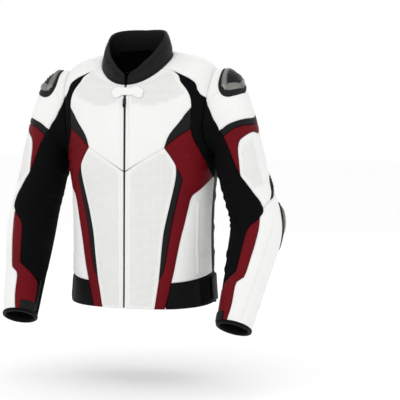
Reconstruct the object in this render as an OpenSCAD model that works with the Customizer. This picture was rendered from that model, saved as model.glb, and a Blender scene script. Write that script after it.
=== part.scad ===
// Leather motorcycle riding jacket, man's size EU 52, zipped up and filled out.
// Millimetres, +Z up. The origin is the middle of the neck base at side-neck
// height, the wearer faces -Y and the wearer's left arm is on +X.
// Every panel is a closed leather shell laid on the jacket's outer surface:
//   body    (theta, h)  theta 0 = centre front, 90 = wearer's left, 180 = centre back;
//                       h = 0 at the neck seam, -130 at chest level, -570 at the hem
//   sleeve  (phi, t)    phi 0 = outer side, 90 = front, 180 = inner side, 270 = back;
//                       t = 0 at the armhole seam, 570 at the cuff

/* [Body] */
// Half width of the body at chest level
chest_half = 197; // [180:1:215]
// Half width of the body at the waist
waist_half = 170; // [155:1:185]
// Half width of the body at the hem
hem_half = 178; // [160:1:195]
// How far the front stands out from the neck axis
front_y = -139; // [-150:1:-125]
// How far the back stands out from the neck axis
back_y = 106; // [95:1:120]
// Height of the front hem
front_hem_z = -577; // [-610:1:-550]
// Height of the back hem
back_hem_z = -590; // [-620:1:-560]

/* [Neck] */
// Half width of the neck opening
neck_half = 84; // [76:1:92]
// Half depth of the neck opening
neck_depth = 72; // [64:1:80]
// Height of the collar at the sides and back
collar_h = 46; // [30:1:55]
// Height of the collar at the front
collar_front_h = 20; // [12:1:30]

/* [Sleeves] */
// Half depth of the upper sleeve, front to back
sleeve_upper = 62; // [54:1:70]
// Half depth of the sleeve at the elbow
sleeve_elbow = 64; // [56:1:72]
// Half depth of the sleeve at the cuff
sleeve_cuff = 43; // [38:1:48]

/* [Leather] */
// Thickness of a leather panel with its backing
leather = 3.4; // [2:0.1:4]
// Half of the gap at a seam
seam = 0.55; // [0.4:0.05:0.8]

/* [Hidden] */

WHITE = "whitesmoke";
RED = "#86202f";
BLACK = "#17181a";
LEATHER_BLACK = "#2b2d2f";
METAL = "#6d6e6a";

// ---------- body surface ----------
function a_of(h) = lookup(h, [[-610, hem_half + 1], [-570, hem_half], [-520, waist_half + 4], [-430, waist_half],
    [-340, waist_half + 2], [-295, waist_half + 6], [-250, waist_half + 12], [-210, chest_half - 10],
    [-180, chest_half - 5], [-155, chest_half - 2], [-130, chest_half]]);
function yf_of(h) = lookup(h, [[-610, front_y - 4], [-430, front_y - 2], [-250, front_y], [-130, front_y + 2]]);
function yb_of(h) = lookup(h, [[-610, back_y + 4], [-520, back_y], [-430, back_y - 4], [-340, back_y - 2],
    [-250, back_y + 4], [-180, back_y + 5], [-130, back_y]]);
function ys_of(h) = lookup(h, [[-610, -14], [-430, -13], [-340, -14], [-250, -17], [-180, -20], [-130, -24]]);
// hem band: top and bottom heights round the body
function half(th) = abs(th > 180 ? 360 - th : th);
function band_top(th) = lookup(half(th), [[0, -515], [36, -515], [49, -512], [67, -506], [91, -498], [135, -490], [180, -488]]);
function band_bot(th) = lookup(half(th), [[0, front_hem_z], [40, front_hem_z + 1], [65, front_hem_z + 4],
    [95, front_hem_z + 8], [135, back_hem_z + 8], [180, back_hem_z]]);
function z_of(th, h) = h > -400 ? h
    : h > -495 ? -400 + (h + 400) / -95 * (band_top(th) + 400)
    : band_top(th) + (h + 495) / -75 * (band_bot(th) - band_top(th));
function ring(th, h) =
    let (s = sin(th), c = cos(th), q = 1 + 0.05 * pow(sin(2 * th), 2), ys = ys_of(h))
    [a_of(h) * s * q, c >= 0 ? ys + (yf_of(h) - ys) * c * q : ys - (yb_of(h) - ys) * c * q, z_of(th, h)];
function neck_pt(th) =
    let (f = (1 + cos(th)) / 2)
    [neck_half * sin(th), -56 - neck_depth * cos(th), 22 - 74 * pow(f, 2.4) + 14 * pow(1 - f, 2)];
function corner(th, N, C) =
    let (d = norm([C.x - N.x, C.y - N.y]), s2 = pow(sin(th), 2))
    [C.x * (1 + 0.05 * s2), C.y, N.z - 0.27 * d + 26 * s2];
function body(th, h) = h <= -130 ? ring(th, h) :
    let (s = min(1, max(0, -h / 130)), N = neck_pt(th), C = ring(th, -130), K = corner(th, N, C),
         f = 0.62 + 0.26 * pow(sin(th), 2) + (cos(th) > 0 ? 0.10 * pow(cos(th), 2) : 0),
         B1 = N + f * (K - N), B2 = C + f * (K - C))
    pow(1 - s, 3) * N + 3 * s * pow(1 - s, 2) * B1 + 3 * s * s * (1 - s) * B2 + pow(s, 3) * C;

// ---------- sleeve surface (wearer's left) ----------
SH = [203, -39, -81];
EL = [294, -24, -379];
WR = [272, -144, -612];
UP = norm(EL - SH);
D1 = (EL - SH) / UP;
D2 = (WR - EL) / norm(WR - EL);
BEND = 45;
T1 = 170;
function path(t) = t < UP - BEND ? SH + t * D1 : t > UP + BEND ? EL + (t - UP) * D2 :
    let (s = (t - UP + BEND) / (2 * BEND))
    pow(1 - s, 2) * (EL - D1 * BEND) + 2 * s * (1 - s) * EL + s * s * (EL + D2 * BEND);
function unit(v) = v / norm(v);
function dir(t) = let (s = min(1, max(0, (t - UP + BEND) / (2 * BEND)))) unit((1 - s) * D1 + s * D2);
function rf(t) = lookup(t, [[0, sleeve_upper + 2], [100, sleeve_upper - 1], [200, sleeve_upper], [270, sleeve_upper - 1],
    [330, sleeve_elbow], [400, sleeve_elbow - 5], [480, sleeve_cuff + 8], [570, sleeve_cuff]]);
function rs(t) = lookup(t, [[0, sleeve_upper - 2], [100, sleeve_upper - 5], [270, sleeve_upper - 5],
    [330, sleeve_elbow - 6], [400, sleeve_elbow - 11], [480, sleeve_cuff + 3], [570, sleeve_cuff - 4]]);
function tube(phi, t) =
    let (T = dir(t), o = unit([1, 0, 0] - T.x * T), f = cross(T, o), g = f.y > 0 ? -f : f)
    path(t) + rs(t) * cos(phi) * o + rf(t) * sin(phi) * g;
function armhole_th(phi) = 90 - (sin(phi) > 0 ? 32 : 20) * sin(phi);
function armhole(phi) = body(armhole_th(phi), -140 + 75 * cos(phi));
function arm(phi, t) = t >= T1 ? tube(phi, t) :
    let (s = max(0, t) / T1, A = armhole(phi), R = tube(phi, T1), c = cos(phi),
         B1 = A + (48 + 30 * c) * [0.99, 0, 0.13], B2 = R - (72 + 42 * c) * D1 + 14 * max(0, c) * [1, 0, 0])
    pow(1 - s, 3) * A + 3 * s * pow(1 - s, 2) * B1 + 3 * s * s * (1 - s) * B2 + pow(s, 3) * R;

// ---------- shells ----------
// surf 0 = body, 1 = sleeve; lift moves a point out along the surface normal
function on(k, u, v) = k == 0 ? body(u, v) : arm(u, v);
function lifted(k, u, v, d) = d == 0 ? on(k, u, v) :
    let (e = 1.2, w = (k == 0 && v > -2) ? -2 : (k == 1 && v < 2) ? 2 : v,
         n = cross(on(k, u + e, w) - on(k, u - e, w), on(k, u, w - 2) - on(k, u, w + 2)))
    on(k, u, v) - d * unit(n);
// closed shell from a grid of (u, v) pairs
module shell(k, G0, top = 0, bottom = -3.4) {
    n = len(G0); m = len(G0[0]);
    // columns run the other way round on a sleeve
    G = k == 0 ? G0 : [for (r = G0) [for (j = [m - 1 : -1 : 0]) r[j]]];
    A = [for (r = G) for (p = r) lifted(k, p[0], p[1], top)];
    B = [for (r = G) for (p = r) lifted(k, p[0], p[1], bottom)];
    o = n * m;
    F = [for (i = [0 : n - 2]) for (j = [0 : m - 2])
            let (a = i * m + j, b = a + 1, c = a + m + 1, d = a + m)
            each [[a, b, c], [a, c, d], [a + o, c + o, b + o], [a + o, d + o, c + o]],
         for (j = [0 : m - 2]) each [[j, j + o, j + 1 + o], [j, j + 1 + o, j + 1]],
         for (j = [0 : m - 2]) let (a = (n - 1) * m + j) each [[a, a + 1, a + 1 + o], [a, a + 1 + o, a + o]],
         for (i = [0 : n - 2]) let (a = i * m, d = a + m) each [[a, d, d + o], [a, d + o, a + o]],
         for (i = [0 : n - 2]) let (a = i * m + m - 1, d = a + m) each [[a, a + o, d + o], [a, d + o, d]]];
    polyhedron(concat(A, B), F, convexity = 8);
}
// all the rows any body panel may use, and the same for the sleeve
HROWS = concat([for (h = [0 : 15 : 300]) -h], [-345, -390, -435, -465, -495]);
TROWS = concat([for (t = [0 : 15 : 345]) t], [375, 405, 435, 450, 465, 480, 495, 525, 555, 570]);
// panel between two edge tables (edge = [[v, u], ...]), v from v0 to v1, n columns, g = seam in degrees
function rows_between(L, a, b, e) = concat([a > b ? a - e : a + e],
    [for (r = L) if ((r - a) * (r - b) < 0 && abs(r - a) > e && abs(r - b) > e) r], [a > b ? b + e : b - e]);
function grid_rows(R, left, right, n, g) = [for (v = R)
    let (l = lookup(v, left) + g, r0 = lookup(v, right) - g, r = max(r0, l + 0.25), l2 = r0 < l + 0.25 ? (l + r0) / 2 - 0.12 : l)
    [for (j = [0 : n]) [l2 + ((r0 < l + 0.25 ? l2 + 0.25 : r) - l2) * j / n, v]]];
module body_panel(left, right, h0, h1, n, e = seam, R = HROWS)
    shell(0, grid_rows(rows_between(R, h0, h1, e), left, right, n, 0.22), 0, -leather);
module arm_panel(left, right, t0, t1, n, e = seam)
    shell(1, grid_rows([for (r = rows_between(TROWS, t0, t1, e)) r], left, right, n, 0.6), 0, -leather);
// panel given by columns: [[u, v0, v1], ...]
module arm_cols(C, n)
    shell(1, [for (j = [0 : n]) [for (c = C)
        let (a = c[1] + seam, b = max(c[2] - seam, a + 0.3)) [c[0], a + (b - a) * j / n]]], 0, -leather);
module both() { children(); mirror([1, 0, 0]) children(); }

// ---------- body edge tables [h, theta] ----------
CF = [[-600, 2.1], [0, 2.1]];
STRETCH_IN = [[-270, 85], [-255, 79.5], [-240, 72.5], [-225, 66.5], [-210, 61], [-195, 56.5], [-180, 52.5], [-165, 49.5],
    [-150, 48], [-105, 48], [-90, 47.5], [-60, 48], [-45, 50], [-30, 58], [-15, 69], [-8, 74]];
STRETCH_OUT = [[-105, 61.7], [-90, 58.5], [-60, 60.5], [-45, 63.5], [-30, 68], [-15, 73], [-8, 75]];
CHEST_R = [[-195, 29.5], [-180, 30.5], [-165, 33], [-150, 36], [-135, 40], [-120, 45], [-113, 48], [-90, 47.5],
    [-60, 48], [-45, 50], [-30, 58], [-15, 69], [-8, 74], [0, 76]];
VEE = [[-255, 2.1], [-240, 7.5], [-225, 15.2], [-210, 23], [-195, 29.5]];
WEDGE_R = [[-195, 29.8], [-180, 34.5], [-165, 42], [-150, 48], [-113, 48]];
BELLY_R = [[-570, 24], [-480, 28.5], [-390, 32.5], [-270, 39], [-240, 38.5], [-225, 35], [-210, 31.5], [-195, 29.8]];
STRIP_R = [[-480, 29], [-465, 31], [-390, 38], [-300, 43.5], [-285, 44.3], [-270, 44.5], [-255, 41.5], [-240, 38.8]];
RED_L = [[-570, 24], [-480, 28.8], [-465, 31], [-390, 38], [-300, 43.5], [-285, 44.3], [-270, 44.5], [-255, 41.5], [-240, 38.6],
    [-225, 35], [-210, 31.5], [-195, 30], [-180, 34.5], [-165, 42], [-150, 47.8]];
RED_R = [[-570, 32], [-495, 37.5], [-435, 44], [-345, 52.3], [-330, 53.3], [-315, 55], [-300, 63], [-285, 74], [-270, 84], [-255, 79.5],
    [-240, 72.5], [-225, 66.5], [-210, 61], [-195, 56.5], [-180, 52.5], [-165, 49.5], [-150, 48.2]];
SIDE_L = [[-495, 37.5], [-435, 44], [-345, 52.3], [-330, 53.3], [-315, 55], [-300, 63], [-285, 74], [-270, 85]];
SIDE = [[-600, 93], [0, 93]];
ARM_FRONT = [[-270, 93], [-218, 93], [-210, 78.5], [-195, 68.2], [-180, 62.9], [-165, 59.8], [-150, 58.3], [-135, 58.1],
    [-120, 59.2], [-105, 61.7], [-90, 66.2], [-75, 74], [-65, 90]];
ARM_BACK = [[-215, 90], [-210, 97.2], [-195, 103.6], [-180, 106.9], [-165, 108.9], [-150, 109.8], [-135, 110],
    [-120, 109.3], [-105, 107.7], [-90, 104.9], [-75, 100], [-65, 90]];
NECK_EDGE = [[-45, 137], [-30, 135.5], [-15, 134.5], [0, 134]];
SH_BACK_R = [[-60, 145], [-45, 137], [-30, 135.5], [-15, 134.5], [0, 134]];
STRIPE_L = [[-150, 165.2], [-135, 162], [-120, 159], [-105, 155.5], [-90, 152], [-75, 147.5], [-60, 145.2]];
STRIPE_R = [[-150, 165.8], [-135, 167], [-120, 168], [-105, 166.3], [-90, 164], [-75, 155], [-60, 146]];
YOKE_L = [[-120, 168], [-105, 166.3], [-90, 164], [-75, 155], [-60, 146], [-45, 137]];
V_L = [[-240, 179.3], [-150, 165.8], [-135, 167], [-120, 168]];
BACK_WHITE_L = [[-495, 138], [-375, 137], [-300, 136], [-255, 135], [-240, 136], [-225, 137.8], [-210, 139.6], [-195, 141.8],
    [-180, 144], [-165, 146], [-150, 147], [-135, 145.3], [-120, 143.3], [-105, 137], [-90, 132], [-75, 127], [-60, 124]];
BACK_WHITE_R = [[-495, 180], [-255, 180], [-240, 178.7], [-150, 165.2], [-135, 162], [-120, 159], [-105, 155.5], [-90, 152], [-75, 147.5], [-60, 145]];
BACK_RED_L = [[-495, 128], [-360, 126], [-300, 124], [-255, 122.3], [-240, 121.7], [-225, 120.4], [-210, 117.7], [-195, 114],
    [-180, 116.8], [-165, 120.2], [-150, 123.6], [-135, 126.6], [-120, 129.7], [-105, 131.5], [-90, 132]];
B_STRETCH_R = [[-195, 114], [-180, 116.8], [-165, 120.2], [-150, 123.6], [-135, 126.6], [-120, 129.7], [-105, 131.5], [-90, 132], [-75, 127], [-70, 125.5]];
B_STRETCH_L = [[-195, 103.6], [-180, 106.9], [-165, 108.9], [-150, 109.8], [-135, 110], [-120, 109.3], [-105, 107.7], [-90, 116], [-75, 123], [-70, 124.5]];
SH_LEG_R = [[-100, 107.6], [-90, 116], [-75, 123], [-60, 124]];
B_SIDE_L = [[-495, 93], [-225, 93], [-210, 98.4], [-196, 112.5]];

// ---------- body panels ----------
module front_chest_l() { color(WHITE) body_panel(CF, concat(VEE, [for (r = CHEST_R) if (r[0] > -195) r]), 0, -254, 8); }
module front_chest_r() { mirror([1, 0, 0]) front_chest_l(); }
module front_belly_l() { color(WHITE) body_panel([[-570, 2.1], [-255, 2.1], [-240, 7.5], [-225, 15.2], [-210, 23], [-195, 29.5]], BELLY_R, -196, -570, 4); }
module front_belly_r() { mirror([1, 0, 0]) front_belly_l(); }
module front_red_l() { color(RED) body_panel(RED_L, RED_R, -151, -570, 4); }
module front_red_r() { mirror([1, 0, 0]) front_red_l(); }
module front_wedges() { color(LEATHER_BLACK) both() body_panel([for (r = CHEST_R) if (r[0] <= -113) r], WEDGE_R, -114, -194, 2); }
module front_strips() { color(LEATHER_BLACK) both() body_panel(BELLY_R, STRIP_R, -241, -478, 1); }
module side_panel_l() { color(WHITE) body_panel(SIDE_L, SIDE, -272, -495, 5); }
module side_panel_r() { mirror([1, 0, 0]) side_panel_l(); }
module shoulder_stretch_l() { color(BLACK) body_panel(STRETCH_IN, concat([for (r = ARM_FRONT) if (r[0] < -105) r], STRETCH_OUT), -9, -269, 3); }
module shoulder_stretch_r() { mirror([1, 0, 0]) shoulder_stretch_l(); }
module shoulder_white_l() { color(WHITE) {
    body_panel(concat([for (r = STRETCH_OUT) r], [[0, 76.2]]), concat([for (r = ARM_FRONT) if (r[0] < -64) r], [[-60, 90], [0, 90]]), 0, -104, 3);
    body_panel([[-100, 107.3], [-90, 104.9], [-75, 100], [-65, 90], [-60, 90], [0, 90]],
        concat([[-100, 107.4], [-90, 115.8], [-75, 122.8], [-61, 123.8], [-60.2, 144.8]], [for (r = SH_BACK_R) if (r[0] > -60) r]), 0, -98, 5,
        R = [-15, -30, -45, -60.2, -61.1, -75, -90]); } }
module shoulder_white_r() { mirror([1, 0, 0]) shoulder_white_l(); }
module back_neck() { color(BLACK) body_panel(NECK_EDGE, [for (r = NECK_EDGE) [r[0], 360 - r[1]]], 0, -45, 12); }
module back_yoke() { color(WHITE) body_panel(YOKE_L, [for (r = YOKE_L) [r[0], 360 - r[1]]], -45, -120, 10); }
module back_v() { color(LEATHER_BLACK) body_panel(V_L, [for (r = V_L) [r[0], 360 - r[1]]], -120, -239, 4); }
module back_white_l() { color(WHITE) body_panel(BACK_WHITE_L, BACK_WHITE_R, -61, -495, 5); }
module back_white_r() { mirror([1, 0, 0]) back_white_l(); }
module back_reds_inner() { color(RED) both() body_panel(STRIPE_L, STRIPE_R, -61, -149, 2); }
module back_red_l() { color(RED) body_panel(BACK_RED_L, BACK_WHITE_L, -92, -495, 3); }
module back_red_r() { mirror([1, 0, 0]) back_red_l(); }
module back_stretch_l() { color(BLACK) {
    body_panel(B_STRETCH_L, B_STRETCH_R, -71, -195.6, 3); } }
module back_stretch_r() { mirror([1, 0, 0]) back_stretch_l(); }
module back_sides() { color(LEATHER_BLACK) both() body_panel(B_SIDE_L, BACK_RED_L, -197, -495, 4); }
module hem_band() { color(LEATHER_BLACK)
    shell(0, [for (h = [-496, -520, -545, -570]) let (l = lookup(h, [[-570, 32.4], [-495, 38]]))
        [for (j = [0 : 36]) [l + (360 - 2 * l) * j / 36, h]]], 0.6, -leather); }

// ---------- collar, lining ----------
// the collar stands on the neck seam, leans in and opens in a rounded V at the front
function collar_pt(th, s, d) =
    let (N = neck_pt(th), c = abs(th > 180 ? 360 - th : th),
         hh = lookup(c, [[0, collar_front_h], [12, collar_front_h + 6], [30, collar_front_h + 17], [60, collar_h - 4], [100, collar_h], [180, collar_h - 6]]),
         lean = lookup(c, [[0, 3], [60, 12], [180, 12]]))
    N + [sin(th) * (d - lean * s), -cos(th) * (d - lean * s), 1 + hh * s + 2];
module closed_loop_shell(A, B) {
    n = len(A); m = len(A[0]); o = n * m;
    F = [for (i = [0 : n - 2]) for (j = [0 : m - 1])
            let (k = (j + 1) % m, a = i * m + j, b = i * m + k, c = b + m, d = a + m)
            each [[a, b, c], [a, c, d], [a + o, c + o, b + o], [a + o, d + o, c + o]],
         for (j = [0 : m - 1]) let (k = (j + 1) % m) each [[j, j + o, k + o], [j, k + o, k]],
         for (j = [0 : m - 1]) let (k = (j + 1) % m, e = (n - 1) * m) each [[e + j, e + k, e + k + o], [e + j, e + k + o, e + j + o]]];
    polyhedron(concat([for (r = A) each r], [for (r = B) each r]), F, convexity = 8);
}
module open_shell(A, B) {
    n = len(A); m = len(A[0]); o = n * m;
    F = [for (i = [0 : n - 2]) for (j = [0 : m - 2])
            let (a = i * m + j, b = a + 1, c = a + m + 1, d = a + m)
            each [[a, b, c], [a, c, d], [a + o, c + o, b + o], [a + o, d + o, c + o]],
         for (j = [0 : m - 2]) each [[j, j + o, j + 1 + o], [j, j + 1 + o, j + 1]],
         for (j = [0 : m - 2]) let (a = (n - 1) * m + j) each [[a, a + 1, a + 1 + o], [a, a + 1 + o, a + o]],
         for (i = [0 : n - 2]) let (a = i * m, d = a + m) each [[a, d, d + o], [a, d + o, a + o]],
         for (i = [0 : n - 2]) let (a = i * m + m - 1, d = a + m) each [[a, a + o, d + o], [a, d + o, d]]];
    polyhedron(concat(A == [] ? [] : [for (r = A) each r], [for (r = B) each r]), F, convexity = 8);
}
module collar() { color(BLACK) {
    th = [for (i = [0 : 40]) 2.5 + 355 * i / 40];
    open_shell([for (s = [1, 0.66, 0.33, 0]) [for (t = th) collar_pt(t, s, 0.8)]],
               [for (s = [1, 0.66, 0.33, 0]) [for (t = th) collar_pt(t, s, -3.8)]]); } }
module lining() { color("#0d0e10") {
    th = [for (i = [0 : 35]) i * 10];
    L = [-224, -250, -300, -345, -390, -435, -480, -525, -566];
    closed_loop_shell([for (h = L) [for (t = th) lifted(0, t, h, -5.3)]], [for (h = L) [for (t = th) lifted(0, t, h, -6.5)]]);
    U = [-3, -16, -30, -46, -60];
    closed_loop_shell([for (h = U) [for (t = th) lifted(0, t, h, -5.3)]], [for (h = U) [for (t = th) lifted(0, t, h, -6.5)]]);
    V = [-62, -75, -90, -110, -130, -150, -175, -200, -222];
    for (f = [0, 1]) let (w = f == 0 ? [[-222, 86], [-205, 72], [-180, 60], [-150, 56], [-120, 57], [-100, 60], [-80, 69], [-62, 88]]
                                    : [[-222, 86], [-205, 78], [-180, 71], [-150, 68], [-120, 69], [-100, 71], [-80, 77], [-62, 88]])
        let (G = [for (h = V) [for (j = [0 : 12]) [(f == 0 ? 0 : 180) + lookup(h, w) * (j - 6) / 6, h]]])
        shell(0, G, -5.3, -6.5);
    both() { P = [for (i = [0 : 17]) -i * 20];
      for (T = [[7, 20, 40, 70, 110, 150, 168], [171, 186]])
        closed_loop_shell([for (t = T) [for (p = P) lifted(1, p, t, -6.3)]], [for (t = T) [for (p = P) lifted(1, p, t, -7.5)]]); } } }

// ---------- sleeve edge tables [t, phi] ----------
F_EDGE = [[0, 60], [15, 72], [30, 79], [45, 84], [60, 88], [75, 90], [90, 89], [105, 88], [120, 87], [135, 86], [150, 84.5],
    [165, 82], [180, 79], [195, 75], [210, 70], [225, 64], [240, 58.5], [255, 52], [270, 49.5], [285, 54], [300, 61],
    [315, 70], [330, 84], [345, 90], [375, 94.5], [390, 95.5], [420, 97], [450, 99], [465, 112], [480, 143]];
B_EDGE = [[0, 304], [15, 302], [30, 300], [60, 298], [90, 296], [135, 295], [180, 297], [195, 270], [210, 253], [225, 245.5],
    [240, 238], [255, 229], [270, 221.5], [285, 222], [300, 223], [315, 224], [345, 227.5], [375, 231.5], [390, 233.5],
    [420, 238], [450, 243], [465, 258], [480, 259.5], [510, 262], [540, 264], [570, 265]];
RED_OUT = [[300, 60.6], [315, 63], [330, 65], [375, 65], [390, 65.5], [420, 68], [450, 70.5], [465, 76], [480, 91.5], [495, 93],
    [540, 92.5], [570, 98]];
RED_IN = concat([for (r = F_EDGE) if (r[0] >= 300) r], [[495, 165], [570, 165]]);
ACC_L = [[255, 350], [240, 238], [225, 245.5], [210, 253], [195, 270], [188, 290]];
ACC_R = [[270, 405], [255, 377], [240, 365], [225, 354], [210, 344], [195, 325], [188, 300]];
PATCH_R = [[270, 409.4], [255, 412], [240, 418.5], [225, 424]];

// ---------- sleeve panels ----------
module sleeve_caps() { color(WHITE) both() arm_cols([[-56, 0, 88], [-50, 0, 92], [-38, 0, 97], [-24, 0, 101], [-8, 0, 105], [8, 0, 108],
    [24, 0, 104.5], [42, 0, 99], [59, 0, 92.5], [72, 16, 82], [79, 31, 76.5], [84, 46, 71.5], [87.6, 60, 68]], 7); }
module arm_bands_black() { color(LEATHER_BLACK) both() arm_cols([[-48, 94, 95.4], [-38, 97, 100.5], [-24, 101, 109], [-8, 105, 114], [8, 108, 116],
    [24, 104.5, 112.5], [42, 99, 108], [59, 92.5, 103], [72, 82, 98], [79, 76.5, 94], [84, 71.5, 92], [89, 67.5, 90]], 2); }
module arm_bands_red() { color(RED) both() arm_cols([[-63, 78, 89], [-56, 88, 98], [-48, 95.4, 107], [-38, 100.5, 114], [-24, 109, 125], [-8, 114, 131],
    [8, 116, 131], [24, 112.5, 128], [42, 108, 127.5], [59, 103, 129], [68, 99.5, 143], [76, 96, 188], [80, 94, 172], [84, 92, 153], [87, 91, 118], [88.4, 90.5, 95]], 3); }
module upper_sleeve_l() { color(WHITE) arm_cols([[-64.4, 90, 148], [-63, 90, 180], [-60, 92, 188], [-56, 98, 189], [-48, 107, 190], [-38, 114, 193],
    [-24, 125, 201], [-8, 131, 222], [8, 131, 225], [24, 128, 225], [42, 127.5, 225], [59, 129, 225], [63, 136, 224], [68, 143, 213], [72, 168, 203], [75, 186, 193]], 6); }
module upper_sleeve_r() { mirror([1, 0, 0]) upper_sleeve_l(); }
module arm_stretches() { color(BLACK) both() arm_panel(F_EDGE, B_EDGE, 0, 190, 11); }
module elbow_stretch_l() { color(BLACK) arm_panel(F_EDGE, B_EDGE, 191, 289, 9); }
module elbow_stretch_r() { mirror([1, 0, 0]) elbow_stretch_l(); }
module accordion_l() { color(BLACK) {
    arm_panel(ACC_L, ACC_R, 189, 238.5, 8);
    arm_panel([[268, 403], [255, 350], [252, 346], [239, 343]], [[268, 404], [255, 377], [240, 365]], 239.5, 267, 3); } }
module accordion_r() { mirror([1, 0, 0]) accordion_l(); }
module elbow_patch_l() { color(WHITE) arm_panel([[270, 408.6], [255, 377], [240, 365], [225, 354]], PATCH_R, 226, 269, 4); }
module elbow_patch_r() { mirror([1, 0, 0]) elbow_patch_l(); }
module forearm_l() { color(WHITE) arm_panel(
    concat([for (r = B_EDGE) if (r[0] >= 240) [r[0], r[1] - 360]]),
    [[240, -18], [255, -10.5], [270, 44], [285, 54], [300, 60.5], [315, 63], [330, 65], [375, 65], [390, 65.5], [420, 68], [450, 70.5],
     [465, 76], [480, 91.5], [495, 93], [540, 92.5], [570, 98]], 240, 562, 10); }
module forearm_r() { mirror([1, 0, 0]) forearm_l(); }
module forearm_red_l() { color(RED) arm_panel(RED_OUT, RED_IN, 301, 562, 4); }
module forearm_red_r() { mirror([1, 0, 0]) forearm_red_l(); }
module forearm_stretch_l() { color(BLACK) {
    arm_panel(F_EDGE, B_EDGE, 291, 479, 7);
    arm_panel([[480, 143.5], [495, 165], [570, 165]], B_EDGE, 480, 562, 5); } }
module forearm_stretch_r() { mirror([1, 0, 0]) forearm_stretch_l(); }
// the cuff: a bound ring on the end of an inner lining sleeve
module cuff_l() { color(BLACK) {
    P = [for (i = [0 : 23]) -i * 15];
    T = [484, 524, 562.5, 563.4, 573];
    closed_loop_shell([for (t = T) [for (p = P) lifted(1, p, min(t, 569), t < 563 ? -4.6 : 1.2) + (t > 569 ? (t - 569) * D2 : [0, 0, 0])]],
                      [for (t = T) [for (p = P) lifted(1, p, min(t, 569), -6.2) + (t > 569 ? (t - 569) * D2 : [0, 0, 0])]]); } }
module cuff_r() { mirror([1, 0, 0]) cuff_l(); }

// ---------- hardware ----------
// frame on a surface: place children with +Z along the outward normal and +Y up the surface
module at_surface(k, u, v, d = 0, spin = 0) {
    P = lifted(k, u, v, d); n = unit(lifted(k, u, v, 5) - lifted(k, u, v, 0));
    w = unit(on(k, u, v + (k == 0 ? 3 : -3)) - on(k, u, v - (k == 0 ? 3 : -3)));
    y = unit(w - (w * n) * n); x = cross(y, n);
    multmatrix([[x.x, y.x, n.x, P.x], [x.y, y.y, n.y, P.y], [x.z, y.z, n.z, P.z], [0, 0, 0, 1]]) rotate(spin) children();
}
ZIP_TOP = [0, -134.6, -78];
ZIP_END = [0, -143.2, -570];
// place children at A with +Z towards B and +Y towards the outside
module along(A, B, out) {
    z = unit(B - A); y = unit(out - (out * z) * z); x = cross(y, z);
    multmatrix([[x.x, y.x, z.x, A.x], [x.y, y.y, z.y, A.y], [x.z, y.z, z.z, A.z], [0, 0, 0, 1]]) children();
}
ZIP_L = norm(ZIP_END - ZIP_TOP);
module main_zip() { color("#202124") along(ZIP_TOP, ZIP_END, [0, -1, 0]) translate([-2.9, -2.4, 0]) cube([5.8, 2.4, ZIP_L]); }
// slider body with the lug the puller hangs on; it rides on the face of the closed chain
module main_slider() { color("#3a3b3d") along(ZIP_TOP, ZIP_END, [0, -1, 0]) translate([0, 0, 5]) {
    difference() {
        translate([-4, 0.5, 0]) cube([8, 5.2, 13]);
        translate([-5, 2.6, 2.0]) cube([10, 5, 7.6]);
    } } }
// the pin through the puller's eye is part of the puller
module main_puller() { color("#2a2b2d") along(ZIP_TOP, ZIP_END, [0, -1, 0]) translate([0, 0, 5]) {
    translate([-3, 3.1, 4.0]) cube([6, 1.6, 5.0]);
    translate([-2.6, 6.2, 4.4]) cube([5.2, 1.5, 26]);
    translate([-2.6, 4.4, 4.4]) cube([5.2, 2.2, 3.6]); } }
// a sewn tab: shell between lifts
module tab(k, u0, u1, v0, v1, n, m, lo, hi) shell(k, [for (i = [0 : m]) [for (j = [0 : n]) [u0 + (u1 - u0) * j / n, v0 + (v1 - v0) * i / m]]], hi, lo);
module collar_tab() { color(WHITE)
    shell(0, [for (i = [0 : 4]) let (f = i / 4) [for (u = [-14, -11, -6, -2, 3, 7, 12, 17])
        let (w = lookup(u, [[-14, 12], [-11, 21], [-6, 22], [-2, 14], [3, 13], [7, 22], [12, 23], [17, 12]])) [u, -52 + w - 2 * w * f]]], 3.6, 1.2); }
module waist_strap_l() { color(LEATHER_BLACK) tab(0, 84, 112, -506, -561, 5, 3, 1.9, 4.4); }
module waist_strap_r() { mirror([1, 0, 0]) waist_strap_l(); }
module pocket_zips() { color("gainsboro") both() tab(0, 61.6, 65.6, -325, -485, 1, 6, 0.4, 2.2); }
// domed guard on the sleeve from an outline of [phi, t] points
module guard(outline, c, rim, dome, foot = 1.5) {
    n = len(outline); R = [1, 0.86, 0.6, 0.3]; Q = [1, 0.75, 0.5, 0.25];
    H = [rim, rim + dome * 0.55, rim + dome * 0.88, rim + dome];
    A = [for (i = [0 : 3]) each [for (p = outline) let (q = c + R[i] * (p - c)) lifted(1, q[0], q[1], H[i])]];
    B = [for (i = [0 : 3]) each [for (p = outline) let (q = c + Q[i] * (p - c)) lifted(1, q[0], q[1], foot)]];
    P = concat(A, [lifted(1, c[0], c[1], rim + dome + 0.6)], B, [lifted(1, c[0], c[1], foot)]); T = 4 * n; b = 4 * n + 1; e = 8 * n + 1;
    F = [for (i = [0 : 2]) for (j = [0 : n - 1]) let (k = (j + 1) % n, p = i * n + j, q = i * n + k) each
            [[p, q, q + n], [p, q + n, p + n], [b + q, b + p, b + p + n], [b + q, b + p + n, b + q + n]],
         for (j = [0 : n - 1]) let (k = (j + 1) % n) each [[3 * n + j, 3 * n + k, T], [b + 3 * n + k, b + 3 * n + j, e]],
         for (j = [0 : n - 1]) let (k = (j + 1) % n) each [[j, b + j, b + k], [j, b + k, k]]];
    polyhedron(P, F, convexity = 6);
}
CUP = [[51, 20], [30, 12.5], [2, 10], [-26, 14], [-42, 31], [-39, 53], [-18, 69], [9, 78], [36, 66], [52, 45]];
module shoulder_cups() { color(METAL) both() guard(CUP, [5, 42], 5, 10, 2.6); }
ELBOW = [[330, 272], [312, 282], [287, 288], [272, 298], [273, 314], [290, 331], [300, 350], [314, 358], [328, 352], [340, 328], [347, 300], [342, 280]];
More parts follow.
